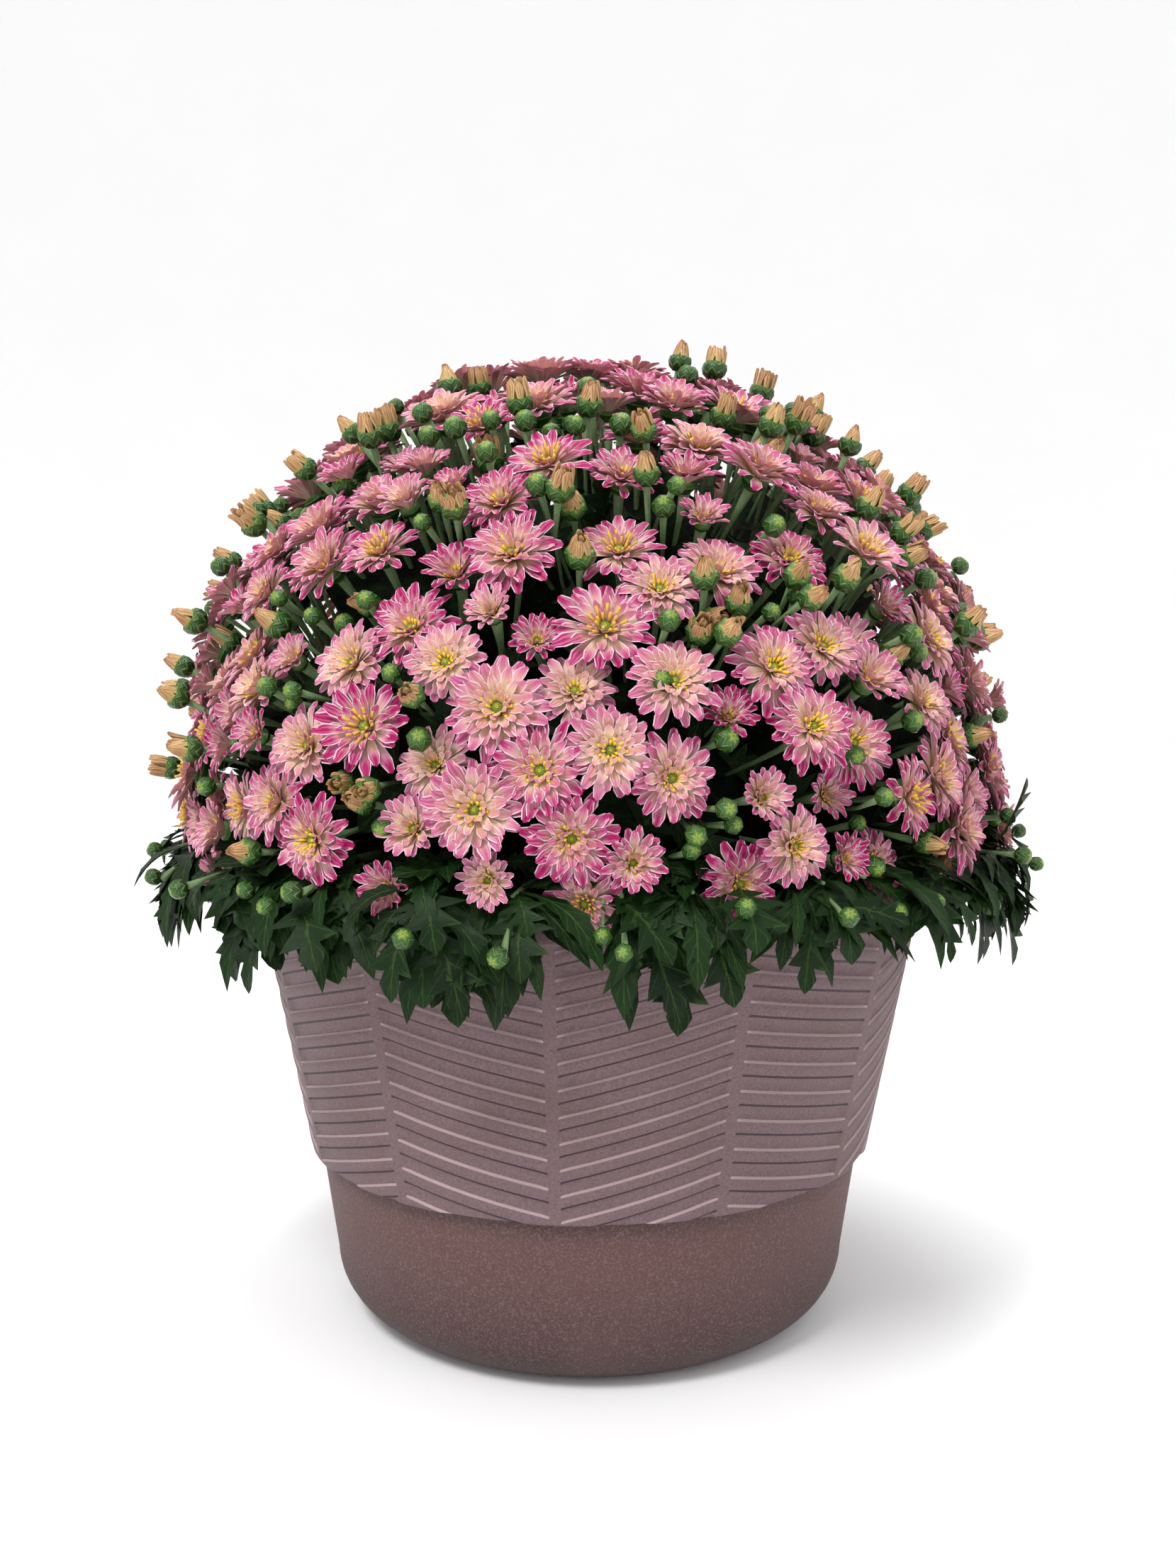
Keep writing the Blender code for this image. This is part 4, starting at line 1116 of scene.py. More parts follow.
def leaf_points(shape, leaf, draw):
    """The points of a bent leaf: along its drooping midrib and out across it, folded up, its edges waved."""
    across, along, side = shape.T
    across = across * leaf["slim"]
    start, end, up, base = (np.array(list(leaf[name])) for name in ("start_way", "end_way", "up", "base"))
    length, t = leaf["length"], along[:, None]
    centre = base + length * (start * t + (end - start) * t**2 / 2)
    ahead = start + (end - start) * t
    ahead /= np.linalg.norm(ahead, axis=1)[:, None]
    sideways = np.cross(ahead, up)
    sideways /= np.linalg.norm(sideways, axis=1)[:, None]
    face = np.cross(sideways, ahead)
    phase, swell = draw.uniform(0, math.tau), draw.uniform(0.05, 0.14)
    wave = swell * np.abs(across) * np.sin(along * 17 + phase + np.sign(across))
    lift = length * (LEAF_FOLD * np.abs(across) + wave * 0.6) + side * BLADE_THICK
    return centre + sideways * (across * length)[:, None] + face * lift[:, None]


def tube(path, radii, sides):
    """A closed tube with a radius at each point of a path: a prism, cut there and bent onto the path."""
    bm = bmesh.new()
    blade, tint = shape_layers(bm)
    spans = len(path) - 1
    bmesh.ops.create_cone(bm, cap_ends=True, segments=sides, radius1=1, radius2=1, depth=spans)
    bmesh.ops.translate(bm, vec=(0, 0, spans / 2), verts=bm.verts)
    for k in range(1, spans):
        geom = list(bm.verts) + list(bm.edges) + list(bm.faces)
        bmesh.ops.bisect_plane(bm, geom=geom, plane_co=(0, 0, k), plane_no=(0, 0, 1))
    ways, side = [], None
    for k in range(spans + 1):
        ahead = (path[min(k + 1, spans)] - path[max(k - 1, 0)]).normalized()
        side = (ahead.orthogonal() if side is None else side - ahead * side.dot(ahead)).normalized()
        ways.append((side, ahead.cross(side)))
    for vert in bm.verts:
        k = round(vert.co.z)
        across, up = ways[k]
        vert[blade] = Vector((vert.co.x, k / spans, vert.co.y))
        vert[tint] = Vector((k / spans, 0, 0))
        vert.co = path[k] + radii[k] * (vert.co.x * across + vert.co.y * up)
    return to_mesh("tube", bm, STALK_SLOT)


def grown(path, radii, sides=STALK_SIDES):
    """A stalk bent through a path, with a radius at each of its points."""
    return tube(bend_through(path, len(radii) - 1), radii, sides)


def bud_parts(draw, bud, forms):
    """A round bud, or a green cup with a brush of closed petals."""
    tone = (draw.random(), draw.random(), 0)
    name = "half_cup" if bud["half_open"] else "bud"
    place = (bud["way"], bud["way"].orthogonal().normalized(), bud["radius"], bud["tip"])
    parts = [placed(forms[name], framed(points_of(forms[name]), *place), tone)]
    if bud["half_open"]:
        points = framed(bent(forms["petal_shape"], np.array(draw_shut_petals(draw))), *place)
        parts.append(placed(forms["shut"], points, [draw.random() for _ in range(3)]))
    return parts


def make_forms():
    """The few forms that are repeated: petals, quills, eye, cups, bud and leaves."""
    rings = [(t, t, w) for t, w in PETAL_RINGS]
    petal, quill = blade_form("petal", rings, 0), quill_form(1)
    forms = {"petal_shape": points_of(petal), "quill_shape": points_of(quill), "quills": many(quill, QUILLS)}
    for layers in (FULL, LOOSE, YOUNG):
        count = sum(layer[0] for layer in layers)
        forms["petals", count] = many(petal, count)
    forms["shut"] = many(blade_form("shut_petal", rings, 3), SHUT_PETALS)
    for name, slot, segments, profile in BALLS:
        forms[name] = ball_form(name, slot, segments, profile)
    forms["lobed"] = blade_form("lobed_leaf", LOBED_RINGS, 0)
    forms["lance"] = blade_form("lance_leaf", LANCE_RINGS, 0)
    return forms


def linked(name, data):
    """A new object in the scene."""
    made = bpy.data.objects.new(name, data)
    bpy.context.scene.collection.objects.link(made)
    return made


def joined(name, parts, materials):
    """One piece made of many meshes that are already in place."""
    bm = bmesh.new()
    for mesh in parts:
        bm.from_mesh(mesh)
        bpy.data.meshes.remove(mesh)
    return shown(name, mesh_from(bm, name, *materials))


def shown(name, mesh):
    """A piece of the plant or planter, which rides on the one body."""
    piece = linked(name, mesh)
    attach(piece, "root")
    return piece


def smooth_faces(bm, degrees):
    """Smooth faces, with a sharp edge wherever two of them meet at more than the angle."""
    for face in bm.faces:
        face.smooth = True
    for edge in bm.edges:
        edge.smooth = edge.calc_face_angle(0) < math.radians(degrees)


def arc(centre, radius, first, last, steps):
    """Profile points round part of a circle, by degrees from level outward."""
    turns = [math.radians(first + (last - first) * k / steps) for k in range(steps + 1)]
    return [(centre[0] + radius * math.cos(turn), centre[1] + radius * math.sin(turn)) for turn in turns]


def pot_profile():
    """The planter's section: from the floor's middle up the inside, over the lip and down under the foot."""
    lip_foot = LIP_TOP - LIP_HEIGHT
    low = BASE_ARC_TOP_RADIUS - BASE_ARC + BASE_INSET
    profile = [(0, FLOOR), (low, FLOOR), (BASE_ARC_TOP_RADIUS - WALL, BASE_ARC)]
    profile += [(cavity_radius(BAND_FOOT), BAND_FOOT)]
    profile += arc((cavity_radius(LIP_TOP) + LIP_EDGE, LIP_TOP - LIP_EDGE), LIP_EDGE, 180, 90, 4)
    profile += arc((LIP_RADIUS - LIP_EDGE, LIP_TOP - LIP_EDGE), LIP_EDGE, 90, 0, 5)
    profile += arc((LIP_RADIUS - LIP_UNDER, lip_foot + LIP_UNDER), LIP_UNDER, 0, -90, 3)
    profile += [(wall_radius(lip_foot) - BAND_RELIEF - BAND_TUCK, lip_foot)]
    profile += [(BAND_FOOT_RADIUS - BAND_RELIEF - BAND_TUCK, BAND_FOOT + STEP_HIGH)]
    profile += [(BAND_FOOT_RADIUS - STEP_IN, BAND_FOOT + STEP_HIGH)]
    profile += arc((BASE_ARC_TOP_RADIUS - BASE_ARC, BASE_ARC), BASE_ARC, 0, -90, 10)
    ring = BASE_ARC_TOP_RADIUS - BASE_ARC - FOOT_RING
    return profile + [(ring, 0), (ring - FOOT_BEVEL, FOOT_RECESS), (0, FOOT_RECESS)]


def turned(profile, steps):
    """A closed solid turned from a profile that starts and ends on the axis."""
    bm = bmesh.new()
    verts = [bm.verts.new((radius, 0, height)) for radius, height in profile]
    geom = verts + [bm.edges.new(pair) for pair in zip(verts, verts[1:])]
    bmesh.ops.spin(bm, geom=geom, axis=UP, angle=math.tau, steps=steps, use_merge=True)
    bmesh.ops.remove_doubles(bm, verts=bm.verts, dist=MERGE)
    bmesh.ops.recalc_face_normals(bm, faces=bm.faces)
    return bm


def band_ring():
    """The herringbone band as a closed ring: rows of bars between upright strips, level at top and foot."""
    spots = [(panel, *spot) for panel in range(PANELS) for spot in PANEL_SPOTS]
    tall = LIP_TOP - LIP_HEIGHT - BAND_FOOT + max(BAR_RISES) + 2 * BAND_SPARE
    rows = math.ceil(tall / min(BAR_ROWS))
    columns, lines = len(spots), rows * len(ROW_LINES)
    bm = bmesh.new()
    blade, _ = shape_layers(bm)
    bmesh.ops.create_grid(bm, x_segments=columns, y_segments=lines, size=0.5)
    for vert in bm.verts:
        column, line = round((vert.co.x + 0.5) * columns), round((vert.co.y + 0.5) * lines)
        panel, share, fade, edge_light_share = spots[column % columns]
        row, mark = divmod(line, len(ROW_LINES))
        up, depth, tone = ROW_LINES[mark]
        # The blade attribute's first number carries the painted highlight and painted shadow along the bars'
        # edges; the second marks the band.
        vert[blade] = Vector((tone * edge_light_share, 1, 0))
        pitch, height = BAR_ROWS[panel % 2], BAR_RISES[panel % 2]
        rise = height * (share if panel % 2 == 0 else 1 - share)
        z = BAND_FOOT - max(BAR_RISES) - BAND_SPARE + (row + up) * pitch + rise
        out = wall_radius(z) - BAND_RELIEF * depth * fade
        turn = SPINE_TURN + (panel + share) * math.tau / PANELS
        vert.co = Vector((out * math.sin(turn), -out * math.cos(turn), z))
    bmesh.ops.remove_doubles(bm, verts=bm.verts, dist=MERGE)
    for height, way in ((BAND_FOOT, -1), (LIP_TOP - LIP_HEIGHT + BAND_SPARE, 1)):
        geom = list(bm.verts) + list(bm.edges) + list(bm.faces)
        bmesh.ops.bisect_plane(bm, geom=geom, plane_co=(0, 0, height), plane_no=(0, 0, way), clear_outer=True)
    rims = [e for e in bm.edges if e.is_boundary]
    made = bmesh.ops.extrude_edge_only(bm, edges=rims)["geom"]
    for vert in [item for item in made if isinstance(item, bmesh.types.BMVert)]:
        share = (wall_radius(vert.co.z) - BAND_DEPTH) / vert.co.xy.length
        vert.co.x *= share
        vert.co.y *= share
    bmesh.ops.bridge_loops(bm, edges=[e for e in bm.edges if e.is_boundary])
    bmesh.ops.recalc_face_normals(bm, faces=bm.faces)
    return bm


def make_planter(material):
    """The moulded planter: the turned body with its drain holes cut, and the herringbone band on its wall."""
    body = turned(pot_profile(), TURN_STEPS)
    smooth_faces(body, 35)
    planter = shown("planter", mesh_from(body, "planter", material))
    drill = bmesh.new()
    for k in range(DRAIN_HOLES):
        turn = math.tau * k / DRAIN_HOLES
        place = Matrix.Translation((DRAIN_CIRCLE * math.sin(turn), DRAIN_CIRCLE * math.cos(turn), 0))
        size = {"radius1": DRAIN_RADIUS, "radius2": DRAIN_RADIUS, "depth": 4 * FLOOR}
        bmesh.ops.create_cone(drill, cap_ends=True, segments=24, matrix=place, **size)
    cutter = linked("drain_holes", mesh_from(drill, "drain_holes"))
    cut = planter.modifiers.new("Cut", "BOOLEAN")
    cut.operation, cut.object, cut.solver = "DIFFERENCE", cutter, "EXACT"
    bpy.context.view_layer.update()
    drilled = bpy.data.meshes.new_from_object(planter.evaluated_get(bpy.context.evaluated_depsgraph_get()))
    planter.modifiers.clear()
    bpy.data.objects.remove(cutter)
    bm, band = bmesh.new(), band_ring()
    smooth_faces(band, 50)
    for mesh in (drilled, mesh_from(band, "band")):
        bm.from_mesh(mesh)
    bm.to_mesh(planter.data)
    bm.free()
    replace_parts(planter, "pot")


def make_soil(material):
    """The potting mix: it fills the planter, crumbly on top."""
    bm = turned(cavity_profile(MIX_SLACK, MIX_TOP - MIX_DIP), MIX_STEPS)
    edges = [edge for edge in bm.edges if any(face.normal.z > 0.9 for face in edge.link_faces)]
    bmesh.ops.subdivide_edges(bm, edges=edges, cuts=MIX_CUTS, use_grid_fill=True)
    for vert in bm.verts:
        inside = cavity_radius(MIX_TOP) - MIX_RIM - vert.co.xy.length
        if vert.co.z > MIX_TOP - MIX_RIM and inside > 0:
            lump = sum(noise.noise(vert.co * size) * height for size, height in CRUMBS)
            vert.co.z += lump * min(1, inside / MIX_FADE)
    smooth_faces(bm, 60)
    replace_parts(shown("soil", mesh_from(bm, "soil", material)), "potting_mix")


def math_method(operation, swapped=False):
    """A method of Value that adds a Math node, with the value last where it is swapped."""

    def method(self, *others):
        numbers = (*others, self) if swapped else (self, *others)
        return self.shader.node("ShaderNodeMath", {"operation": operation}, numbers)

    return method


class Value:
    """One output of a shader node. Sums and products of values add their Math nodes."""

    def __init__(self, shader, socket):
        self.shader, self.socket = shader, socket

    __add__, __radd__ = math_method("ADD"), math_method("ADD", True)
    __sub__, __rsub__ = math_method("SUBTRACT"), math_method("SUBTRACT", True)
    __mul__, __rmul__ = math_method("MULTIPLY"), math_method("MULTIPLY", True)
    __abs__, sine = math_method("ABSOLUTE"), math_method("SINE")

    def step(self, low, high):
        """0 below low, 1 above high and smooth between them."""
        settings = {"interpolation_type": "SMOOTHSTEP"}
        inputs = {"Value": self, "From Min": low, "From Max": high}
        return self.shader.node("ShaderNodeMapRange", settings, inputs)


class Shader:
    """A material whose nodes are made one by one, painted from the base up and fed to its Principled BSDF."""

    def __init__(self, name, **constants):
        self.material = bpy.data.materials.new(name)
        self.material.use_nodes = True
        self.tree = self.material.node_tree
        self.surface = self.tree.nodes["Principled BSDF"]
        self.colour = None
        for socket, value in constants.items():
            self.surface.inputs[socket.replace("_", " ")].default_value = value

    def node(self, kind, settings, inputs, output=0):
        """A node with its settings made first, then its sockets set or linked."""
        made = self.tree.nodes.new(kind)
        for name, value in settings.items():
            setattr(made, name, value)
        pairs = inputs.items() if isinstance(inputs, dict) else enumerate(inputs)
        for key, value in pairs:
            if isinstance(value, Value):
                self.tree.links.new(value.socket, made.inputs[key])
            else:
                made.inputs[key].default_value = value
        return Value(self, made.outputs[output])

    def parts(self, vector):
        """The three numbers of a vector."""
        made = self.tree.nodes.new("ShaderNodeSeparateXYZ")
        self.tree.links.new(vector.socket, made.inputs[0])
        return [Value(self, output) for output in made.outputs]

    def split(self, name):
        """The three numbers of a vector attribute."""
        return self.parts(self.node("ShaderNodeAttribute", {"attribute_name": name}, {}, "Vector"))

    def place(self):
        """Where a point is in the object's own space."""
        return self.node("ShaderNodeTexCoord", {}, {}, "Object")

    def noise(self, scale, detail=3.0, roughness=0.55):
        """A cloudy number between 0 and 1, finer as the scale grows."""
        inputs = {"Vector": self.place(), "Scale": scale, "Detail": detail, "Roughness": roughness}
        return self.node("ShaderNodeTexNoise", {}, inputs, "Fac")

    def mix(self, share, first, second):
        """A blend of two colours, each a triple of numbers or a value."""
        colours = [c if isinstance(c, Value) else (*c, 1) for c in (first, second)]
        inputs = {0: share, 6: colours[0], 7: colours[1]}
        return self.node("ShaderNodeMix", {"data_type": "RGBA", "clamp_factor": True}, inputs, 2)

    def base(self, share, first, second):
        """The ground colour: a blend of two, as they show on a screen."""
        self.colour = self.mix(share, srgb(*first), srgb(*second))

    def paint(self, share, colour):
        """Lays a further colour over those so far, as much as its share says."""
        self.colour = self.mix(share, self.colour, srgb(*colour))

    def finish(self, roughness, height=None, depth=0.001, strength=1.0):
        """Feeds the colour, roughness and a bump of the given height to the surface."""
        feeds = {"Base Color": self.colour, "Roughness": roughness}
        if height is not None:
            inputs = {"Strength": strength, "Distance": depth, "Height": height}
            feeds["Normal"] = self.node("ShaderNodeBump", {}, inputs)
        for socket, value in feeds.items():
            self.tree.links.new(value.socket, self.surface.inputs[socket])
        return self.material


def srgb(red, green, blue):
    """A screen colour, 0 to 255, in the linear numbers of a shader under this scene's light."""
    linear = [((c / 255 + 0.055) / 1.055) ** 2.4 for c in (red, green, blue)]
    return tuple(part / LIGHT_LEVEL for part in linear)


def petal_finish():
    """Pink petals with pale rims, deeper streaks toward the tip and a cream foot, paler further in, and
    undersides painted lighter to stand in for light shining through.
    """
    shader = Shader("petal", Specular_IOR_Level=0.2, Sheen_Weight=0.03, Sheen_Roughness=0.5)
    across, along, side = shader.split("blade")
    layer, chance, pale = shader.split("tint")
    edge = abs(across)
    grain = shader.noise(900.0, 2.0)
    shader.base(chance * 0.45 + layer * 0.45 - pale * 0.2, (252, 224, 188), (234, 172, 124))
    shader.paint((along + grain * 0.12 - layer * 0.38 - pale * 0.22).step(0.26, 0.84), (243, 162, 206))
    streak = ((across * across) * 13.0 + chance * 3.0).sine() * 0.5 + 0.5
    strong = (along + chance * 0.20 - 0.1 * layer).step(0.42, 0.96)
    strong = strong * (1.0 - layer * 0.45) * (1.2 - pale * 0.6)
    shader.paint(strong * (streak * 0.42 + 0.72), (168, 2, 90))
    shader.paint(edge.step(0.66, 0.98) * (0.80 - layer * 0.2), (254, 230, 242))
    # Painted light: each petal's underside is lightened to pale peach, standing in for light that shines
    # through the thin petal where shade would fall.
    shader.paint((0.0 - side).step(0.0, 0.35) * 0.70, (252, 190, 184))
    groove = (across * 9.0).sine() * 0.5 + grain * 0.3
    return shader.finish(grain * 0.15 + 0.50, groove, 0.0003, 0.5)


def shut_petal_finish():
    """The closed petals of a half-open bud: tan and peach, with brownish pink lines."""
    shader = Shader("shut_petal", Specular_IOR_Level=0.3)
    across, along, _ = shader.split("blade")
    tint, chance, _ = shader.split("tint")
    grain = shader.noise(1100.0, 2.0)
    shader.base(along.step(0.15, 0.75), (200, 190, 112), (222, 184, 124))
    lines = ((across * 11.0).sine() * 0.5 + 0.5) * along.step(0.15, 0.6)
    shader.paint(lines * 0.65 + tint * 0.2, (160, 90, 70))
    shader.paint(abs(across).step(0.65, 1.0) * 0.6, (240, 214, 164))
    shader.paint((along + grain * 0.1).step(0.86, 1.0) * chance * 0.7, (120, 74, 50))
    return shader.finish(grain * 0.2 + 0.5, lines, 0.0003, 0.5)


def quill_finish():
    """Yellow quilled florets, browner in a loose bloom."""
    shader = Shader("quill", Specular_IOR_Level=0.3)
    _, along, _ = shader.split("blade")
    old, chance, _ = shader.split("tint")
    grain = shader.noise(1300.0, 2.0)
    shader.base(along.step(0.1, 0.9), (226, 150, 60), (248, 214, 60))
    shader.paint(old * 0.5 + chance * 0.12, (206, 150, 84))
    shader.paint(grain.step(0.5, 0.8) * 0.3, (180, 110, 40))
    return shader.finish(grain * 0.2 + 0.5, grain, 0.0003, 0.5)


def green_finish(name, low, high, tip, rough):
    """Bud, cup and eye: overlapping bracts with paler edges, lighter toward the tip."""
    shader = Shader(name, Specular_IOR_Level=0.45)
    rib, height, _ = shader.split("blade")
    chance = shader.split("tint")[1]
    grain = shader.noise(1400.0, 2.0)
    scales = ((height * 22.0 + rib * 2.2).sine() * 0.5 + 0.5).step(0.45, 1.0)
    shader.base(height.step(0.1, 0.9) * 0.8 + chance * 0.2, low, high)
    shader.paint(scales * 0.22, tip)
    shader.paint((height + rib * 0.05 + grain * 0.1).step(0.80, 1.0) * 0.75, tip)
    return shader.finish(grain * 0.2 + rough, scales + grain * 0.4, 0.0008, 0.8)


def stalk_finish():
    """Grey-green stalks with fine lines along them."""
    shader = Shader("stalk", Specular_IOR_Level=0.35)
    across, along, _ = shader.split("blade")
    grain = shader.noise(700.0, 3.0)
    shader.base(along.step(0.2, 1.0), (58, 82, 44), (118, 144, 96))
    shader.paint(grain.step(0.4, 0.7) * 0.4, (84, 108, 66))
    lines = (across * 12.0).sine()
    return shader.finish(grain * 0.2 + 0.5, lines * 0.4 + grain, 0.0003, 0.5)


def leaf_finish():
    """Deep green satin leaves with a pale midrib, side veins and a duller underside."""
    shader = Shader("leaf", Specular_IOR_Level=0.14)
    across, along, side = shader.split("blade")
    tint, chance, _ = shader.split("tint")
    edge = abs(across)
    grain = shader.noise(420.0, 3.0)
    shader.base(tint * 0.7 + grain * 0.5, (4, 21, 4), (20, 48, 12))
    veins = (along * 46.0 - edge * 9.0).sine().step(0.80, 1.0) * edge.step(0.0, 0.1)
    midrib = 1.0 - edge.step(0.02, 0.13)
    shader.paint(veins * 0.22 + midrib * 0.32, (78, 106, 50))
    shader.paint((0.0 - side).step(0.0, 0.3) * 0.5, (38, 56, 26))
    height = 0.6 * grain - veins * 0.5 - midrib * 0.8
    return shader.finish(grain * 0.25 + 0.36 + chance * 0.05, height, 0.0006, 0.6)


def shade_finish():
    """Foliage in deep shade: leaf-sized patches of dark greens."""
    shader = Shader("shaded_foliage", Specular_IOR_Level=0.1)
    patch, grain = shader.noise(95.0, 3.0, 0.6), shader.noise(420.0, 3.0)
    shader.base(patch.step(0.38, 0.62), (5, 12, 4), (16, 34, 12))
    shader.paint((patch - grain * 0.2).step(0.47, 0.50) * 0.4, (24, 46, 16))
    return shader.finish(grain * 0.2 + 0.7, patch, 0.004, 1.0)


def planter_finish():
    """Moulded plastic with a fine sandy grain: mauve-taupe, browner under the band, with painted shadow just
    below the band's edge, painted shade toward the bottom, and a painted highlight along each bar's upper
    edge with painted shadow under it.
    """
    shader = Shader("planter_plastic", Specular_IOR_Level=0.35)
    height = shader.parts(shader.place())[2]
    sand, blotch = shader.noise(1500.0, 4.0, 0.65), shader.noise(28.0, 3.0)
    tone, band, _ = shader.split("blade")
    speck = shader.noise(900.0, 2.0, 0.6)
    upper = (height - BAND_FOOT).step(0.008, 0.012)
    shader.base(band + upper - band * upper, (94, 62, 57), (116, 93, 98))
    # Painted shadow: the base just below the band's edge is darkened where the band's overhang shades it.
    shade = (height - BAND_FOOT).step(-0.016, 0.0) * (1.0 - band) * (1.0 - upper)
    shader.paint(shade * shade * 0.7, (48, 34, 32))
    # Painted shade: the lower part of the base darkens toward the foot.
    shader.paint((0.065 - height).step(0.0, 0.065) * 0.9, (46, 29, 27))
    shader.paint(sand.step(0.35, 0.70) * 0.30, (136, 112, 114))
    shader.paint(speck.step(0.50, 0.66) * 0.35, (144, 120, 122))
    shader.paint((1.0 - speck).step(0.54, 0.68) * 0.35, (82, 60, 62))
    shader.paint(blotch.step(0.45, 0.75) * 0.3, (104, 78, 76))
    # Painted highlight along each bar's upper edge, then painted shadow under each bar.
    shader.paint(tone.step(0.2, 1.0) * 0.7, (200, 176, 176))
    shader.paint((0.0 - tone).step(0.2, 0.9) * 0.92, (54, 39, 43))
    return shader.finish(sand * 0.2 + 0.55, sand * 0.5 + speck, 0.0005, 0.7)


def soil_finish():
    """Dark brown potting mix with paler fibres."""
    shader = Shader("potting_soil", Specular_IOR_Level=0.2)
    crumb, fibre = shader.noise(420.0, 5.0, 0.7), shader.noise(90.0, 3.0)
    shader.base(crumb.step(0.35, 0.7), (34, 24, 18), (86, 62, 44))
    shader.paint(fibre.step(0.6, 0.75) * 0.5, (120, 92, 66))
    return shader.finish(crumb * 0.1 + 0.85, crumb, 0.002, 0.9)


def floor_finish():
    """The stage's pale floor."""
    shader = Shader("pale_floor", Specular_IOR_Level=0.1)
    grain = shader.noise(3.0, 2.0)
    shader.colour = shader.mix(grain, (0.93, 0.93, 0.93), (0.96, 0.96, 0.96))
    return shader.finish(grain * 0.05 + 0.8)


def make_materials():
    """Every material by its name."""
    finishes = {"petal": petal_finish, "shut_petal": shut_petal_finish, "quill": quill_finish}
    finishes |= {"stalk": stalk_finish, "leaf": leaf_finish, "shade": shade_finish}
    finishes |= {"planter": planter_finish, "soil": soil_finish, "floor": floor_finish}
    found = {name: finish() for name, finish in finishes.items()}
    found["bud"] = green_finish("bud", (14, 48, 14), (44, 96, 28), (158, 184, 72), 0.26)
    found["eye"] = green_finish("eye", (120, 150, 50), (92, 140, 48), (206, 196, 70), 0.4)
    return found


def leafy_middle(draw, k, plan):
    """The dense middle of a stem's foliage, in the shade behind the drawn leaves."""
    middle = plan["stems"][k][-1]
    bm = core_mesh(k, plan["cells"], middle)
    blade, tint = shape_layers(bm)
    bmesh.ops.subdivide_edges(bm, edges=bm.edges[:], cuts=1, use_grid_fill=True)
    for vert in bm.verts:
        size = 1.0 + draw.uniform(-1, 1) * SHADE_RELIEF
        vert.co = middle + (vert.co - middle) * size
        out = (vert.co - DOME).length / CORE_RADIUS
        swell = SKIN_SWELL * min(1.0, max(0.0, out - SKIN_START) / (1 - SKIN_START))
        vert.co = DOME + (vert.co - DOME) * (1 + swell)
        vert.co.z = max(vert.co.z, CORE_FLOOR)
        vert[blade], vert[tint] = Vector((0, 0, 1)), Vector((draw.random(), 0, 0))
    return to_mesh("leafy_middle", bm, SHADE_SLOT)


def make_stems(draw, plan, forms, materials):
    """Each leafy stem with its branches, stalks, leaves and buds."""
    foliage = [materials[name] for name in ("leaf", "stalk", "bud", "shut_petal", "shade")]
    for k, stem in enumerate(plan["stems"]):
        parts = [grown(stem[1:], [STEM_RADIUS * (1 - STEM_TAPER * t) for t in range(7)], STEM_SIDES)]
        parts += [tube(stem[:2], [STEM_RADIUS] * 2, STEM_SIDES), leafy_middle(draw, k, plan)]
        parts += [grown(path, STALK_RADII) for cell, path in plan["bloom_stalks"] if cell == k]
        parts += [grown(path, SHOOT_RADII) for cell, path in plan["shoots"] if cell == k]
        for leaf in [leaf for leaf in plan["leaves"] if leaf["cell"] == k]:
            form = forms["lobed" if leaf["lobed"] else "lance"]
            points = leaf_points(points_of(form), leaf, draw)
            parts.append(placed(form, points, [draw.random() for _ in range(3)]))
        for bud in [bud for bud in plan["buds"] if bud["cell"] == k]:
            parts += [grown(bud["path"], BUD_STALK_RADII), *bud_parts(draw, bud, forms)]
        piece = joined(f"stem_leaves_{k + 1:02d}", parts, foliage)
        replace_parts(piece, f"leafy_stem_{k + 1:02d}")


def make_blooms(draw, plan, forms, materials):
    """Each spray of open blooms."""
    finishes = [materials[name] for name in ("petal", "quill", "eye", "shut_petal", "bud")]
    for spray in range(SPRAYS):
        members = [bloom for bloom in plan["blooms"] if bloom["spray"] == spray]
        parts = [part for bloom in members for part in bloom_parts(draw, bloom, forms)]
        piece = joined(f"blooms_{spray + 1:02d}", parts, finishes)
        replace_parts(piece, f"bloom_spray_{spray + 1:02d}")


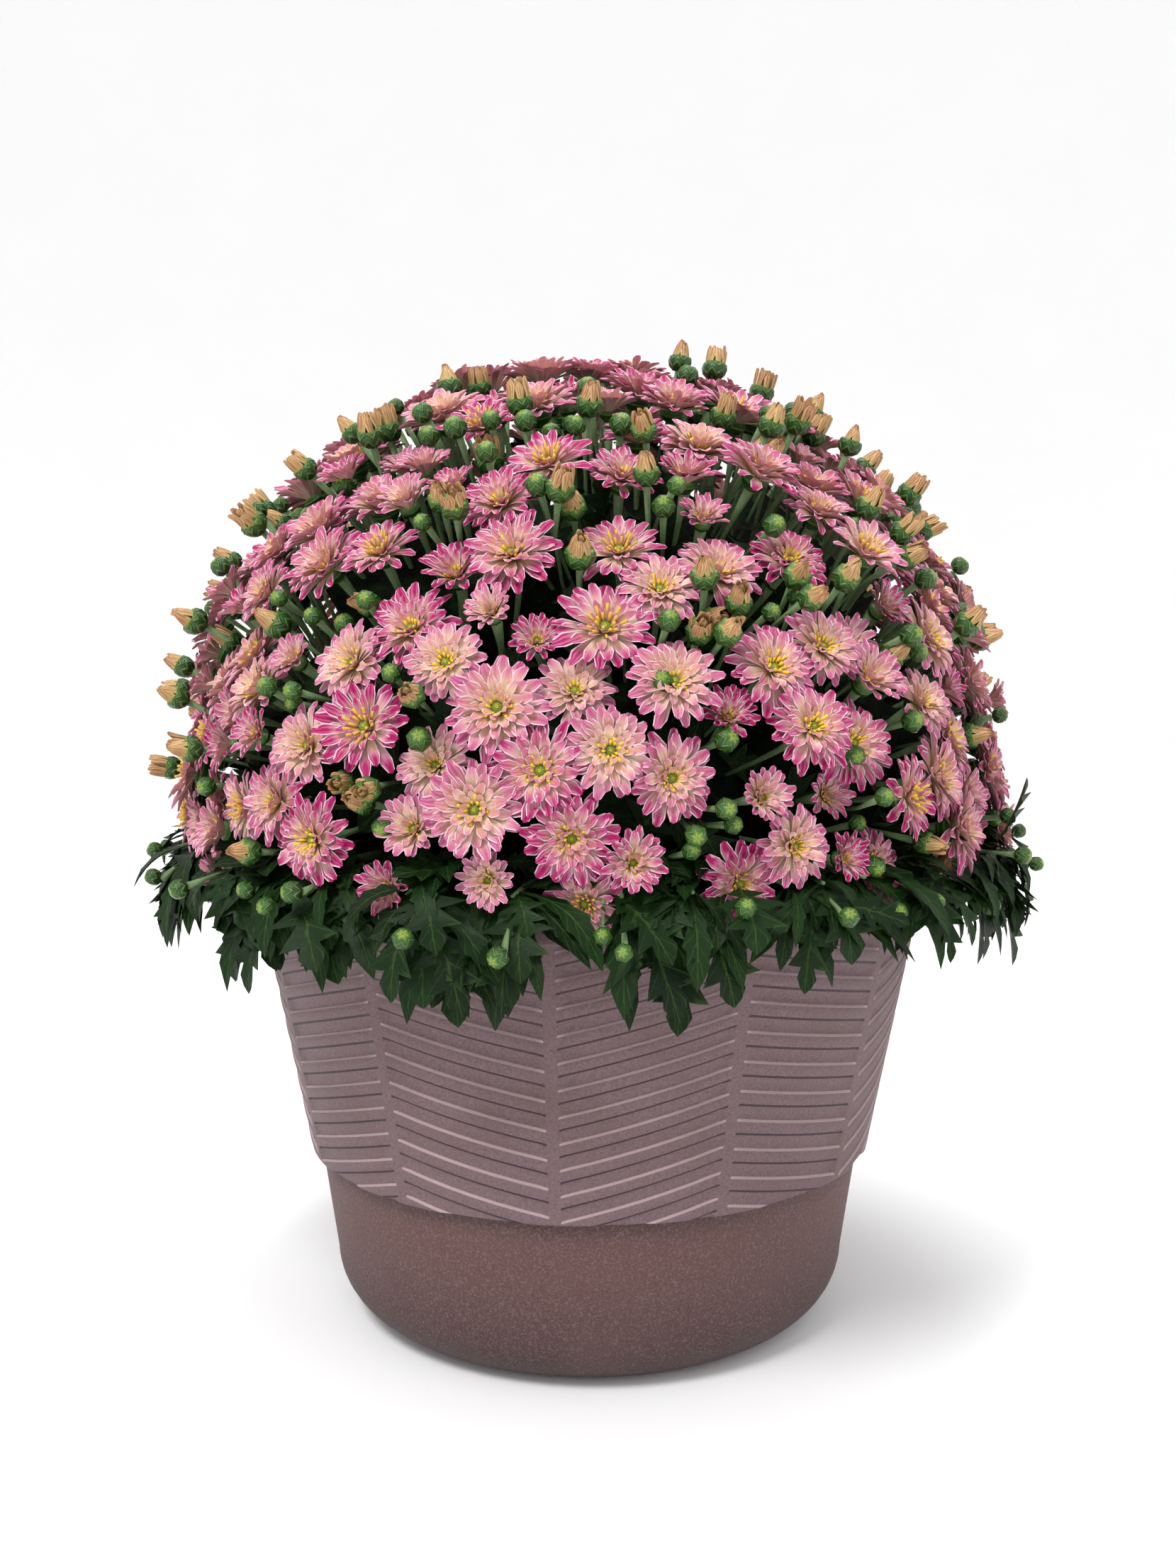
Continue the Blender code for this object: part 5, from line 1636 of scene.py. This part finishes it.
def make_plan():
    """The solids' plan, drawn again in the same order, and what this scene adds to it."""
    draw = random.Random(SEED)
    blooms, cells = plan_blooms(draw), plan_cells()
    stems = plan_stems(cells)
    stalks = plan_stalks(draw, cells, blooms, stems)
    shoots = plan_shoots(cells, stems, blooms)
    cores = [BVHTree.FromBMesh(core_mesh(k, cells, stems[k][-1])) for k in range(len(cells))]
    leaves = plan_leaves(draw, cells, cores, blooms, stalks, shoots)
    buds = plan_buds(draw, cells, cores, blooms, stalks)
    more = random.Random(MORE_SEED)
    blooms = plan_more_blooms(more, blooms)
    bloom_stalks = plan_bloom_stalks(more, cells, blooms, stems, stalks)
    shoots = plan_more_shoots(more, cells, stems, shoots)
    buds = plan_more_buds(more, cells, stems, shoots, blooms, buds)
    leaves = plan_more_leaves(more, blooms, bloom_stalks, buds, shoots, leaves)
    plan = {"blooms": blooms, "cells": cells, "stems": stems, "shoots": shoots}
    return {**plan, "bloom_stalks": bloom_stalks, "buds": buds, "leaves": leaves}


def make_camera():
    """The camera at the photo's angle, and the plain view transform."""
    camera = linked("camera", bpy.data.cameras.new("camera"))
    camera.location = CAMERA_PLACE
    camera.rotation_euler = (math.radians(90 - CAMERA_PITCH), 0, 0)
    camera.data.sensor_fit, camera.data.sensor_height = "VERTICAL", 36
    camera.data.lens, camera.data.clip_start = CAMERA_LENS, 0.01
    bpy.context.scene.camera = camera
    bpy.context.scene.view_settings.view_transform = "Standard"


def add_light(name, place, target, size, power):
    """A soft round lamp that points at a target."""
    lamp = bpy.data.lights.new(name, "AREA")
    lamp.shape, lamp.size, lamp.energy, lamp.color = "DISK", size, power, (1, 1, 1)
    light = linked(name, lamp)
    light.location = place
    light.rotation_euler = (Vector(target) - Vector(place)).to_track_quat("-Z", "Y").to_euler()


def make_stage(material):
    """A pale floor that sweeps up behind, soft lights and a white surrounding."""
    bm = bmesh.new()
    bmesh.ops.create_grid(bm, x_segments=24, y_segments=24, size=6)
    for vert in bm.verts:
        past = max(0.0, vert.co.xy.length - 3.0)
        vert.co.z = 0.5 * past * past
    for face in bm.faces:
        face.smooth = True
    linked("floor", mesh_from(bm, "floor", material))
    world = bpy.data.worlds.new("surrounding")
    bpy.context.scene.world = world
    world.use_nodes = True
    surrounding = world.node_tree.nodes["Background"].inputs
    surrounding["Color"].default_value = (1, 1, 1, 1)
    surrounding["Strength"].default_value = WORLD_LIGHT
    for light in LIGHTS:
        add_light(*light)


def main():
    """Everything in its place."""
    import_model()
    make_camera()
    materials = make_materials()
    plan, forms = make_plan(), make_forms()
    draw = random.Random(MORE_SEED + 1)
    make_planter(materials["planter"])
    make_soil(materials["soil"])
    make_stems(draw, plan, forms, materials)
    make_blooms(draw, plan, forms, materials)
    for form in [mesh for mesh in bpy.data.meshes if mesh.users == 0]:
        bpy.data.meshes.remove(form)
    make_stage(materials["floor"])


main()
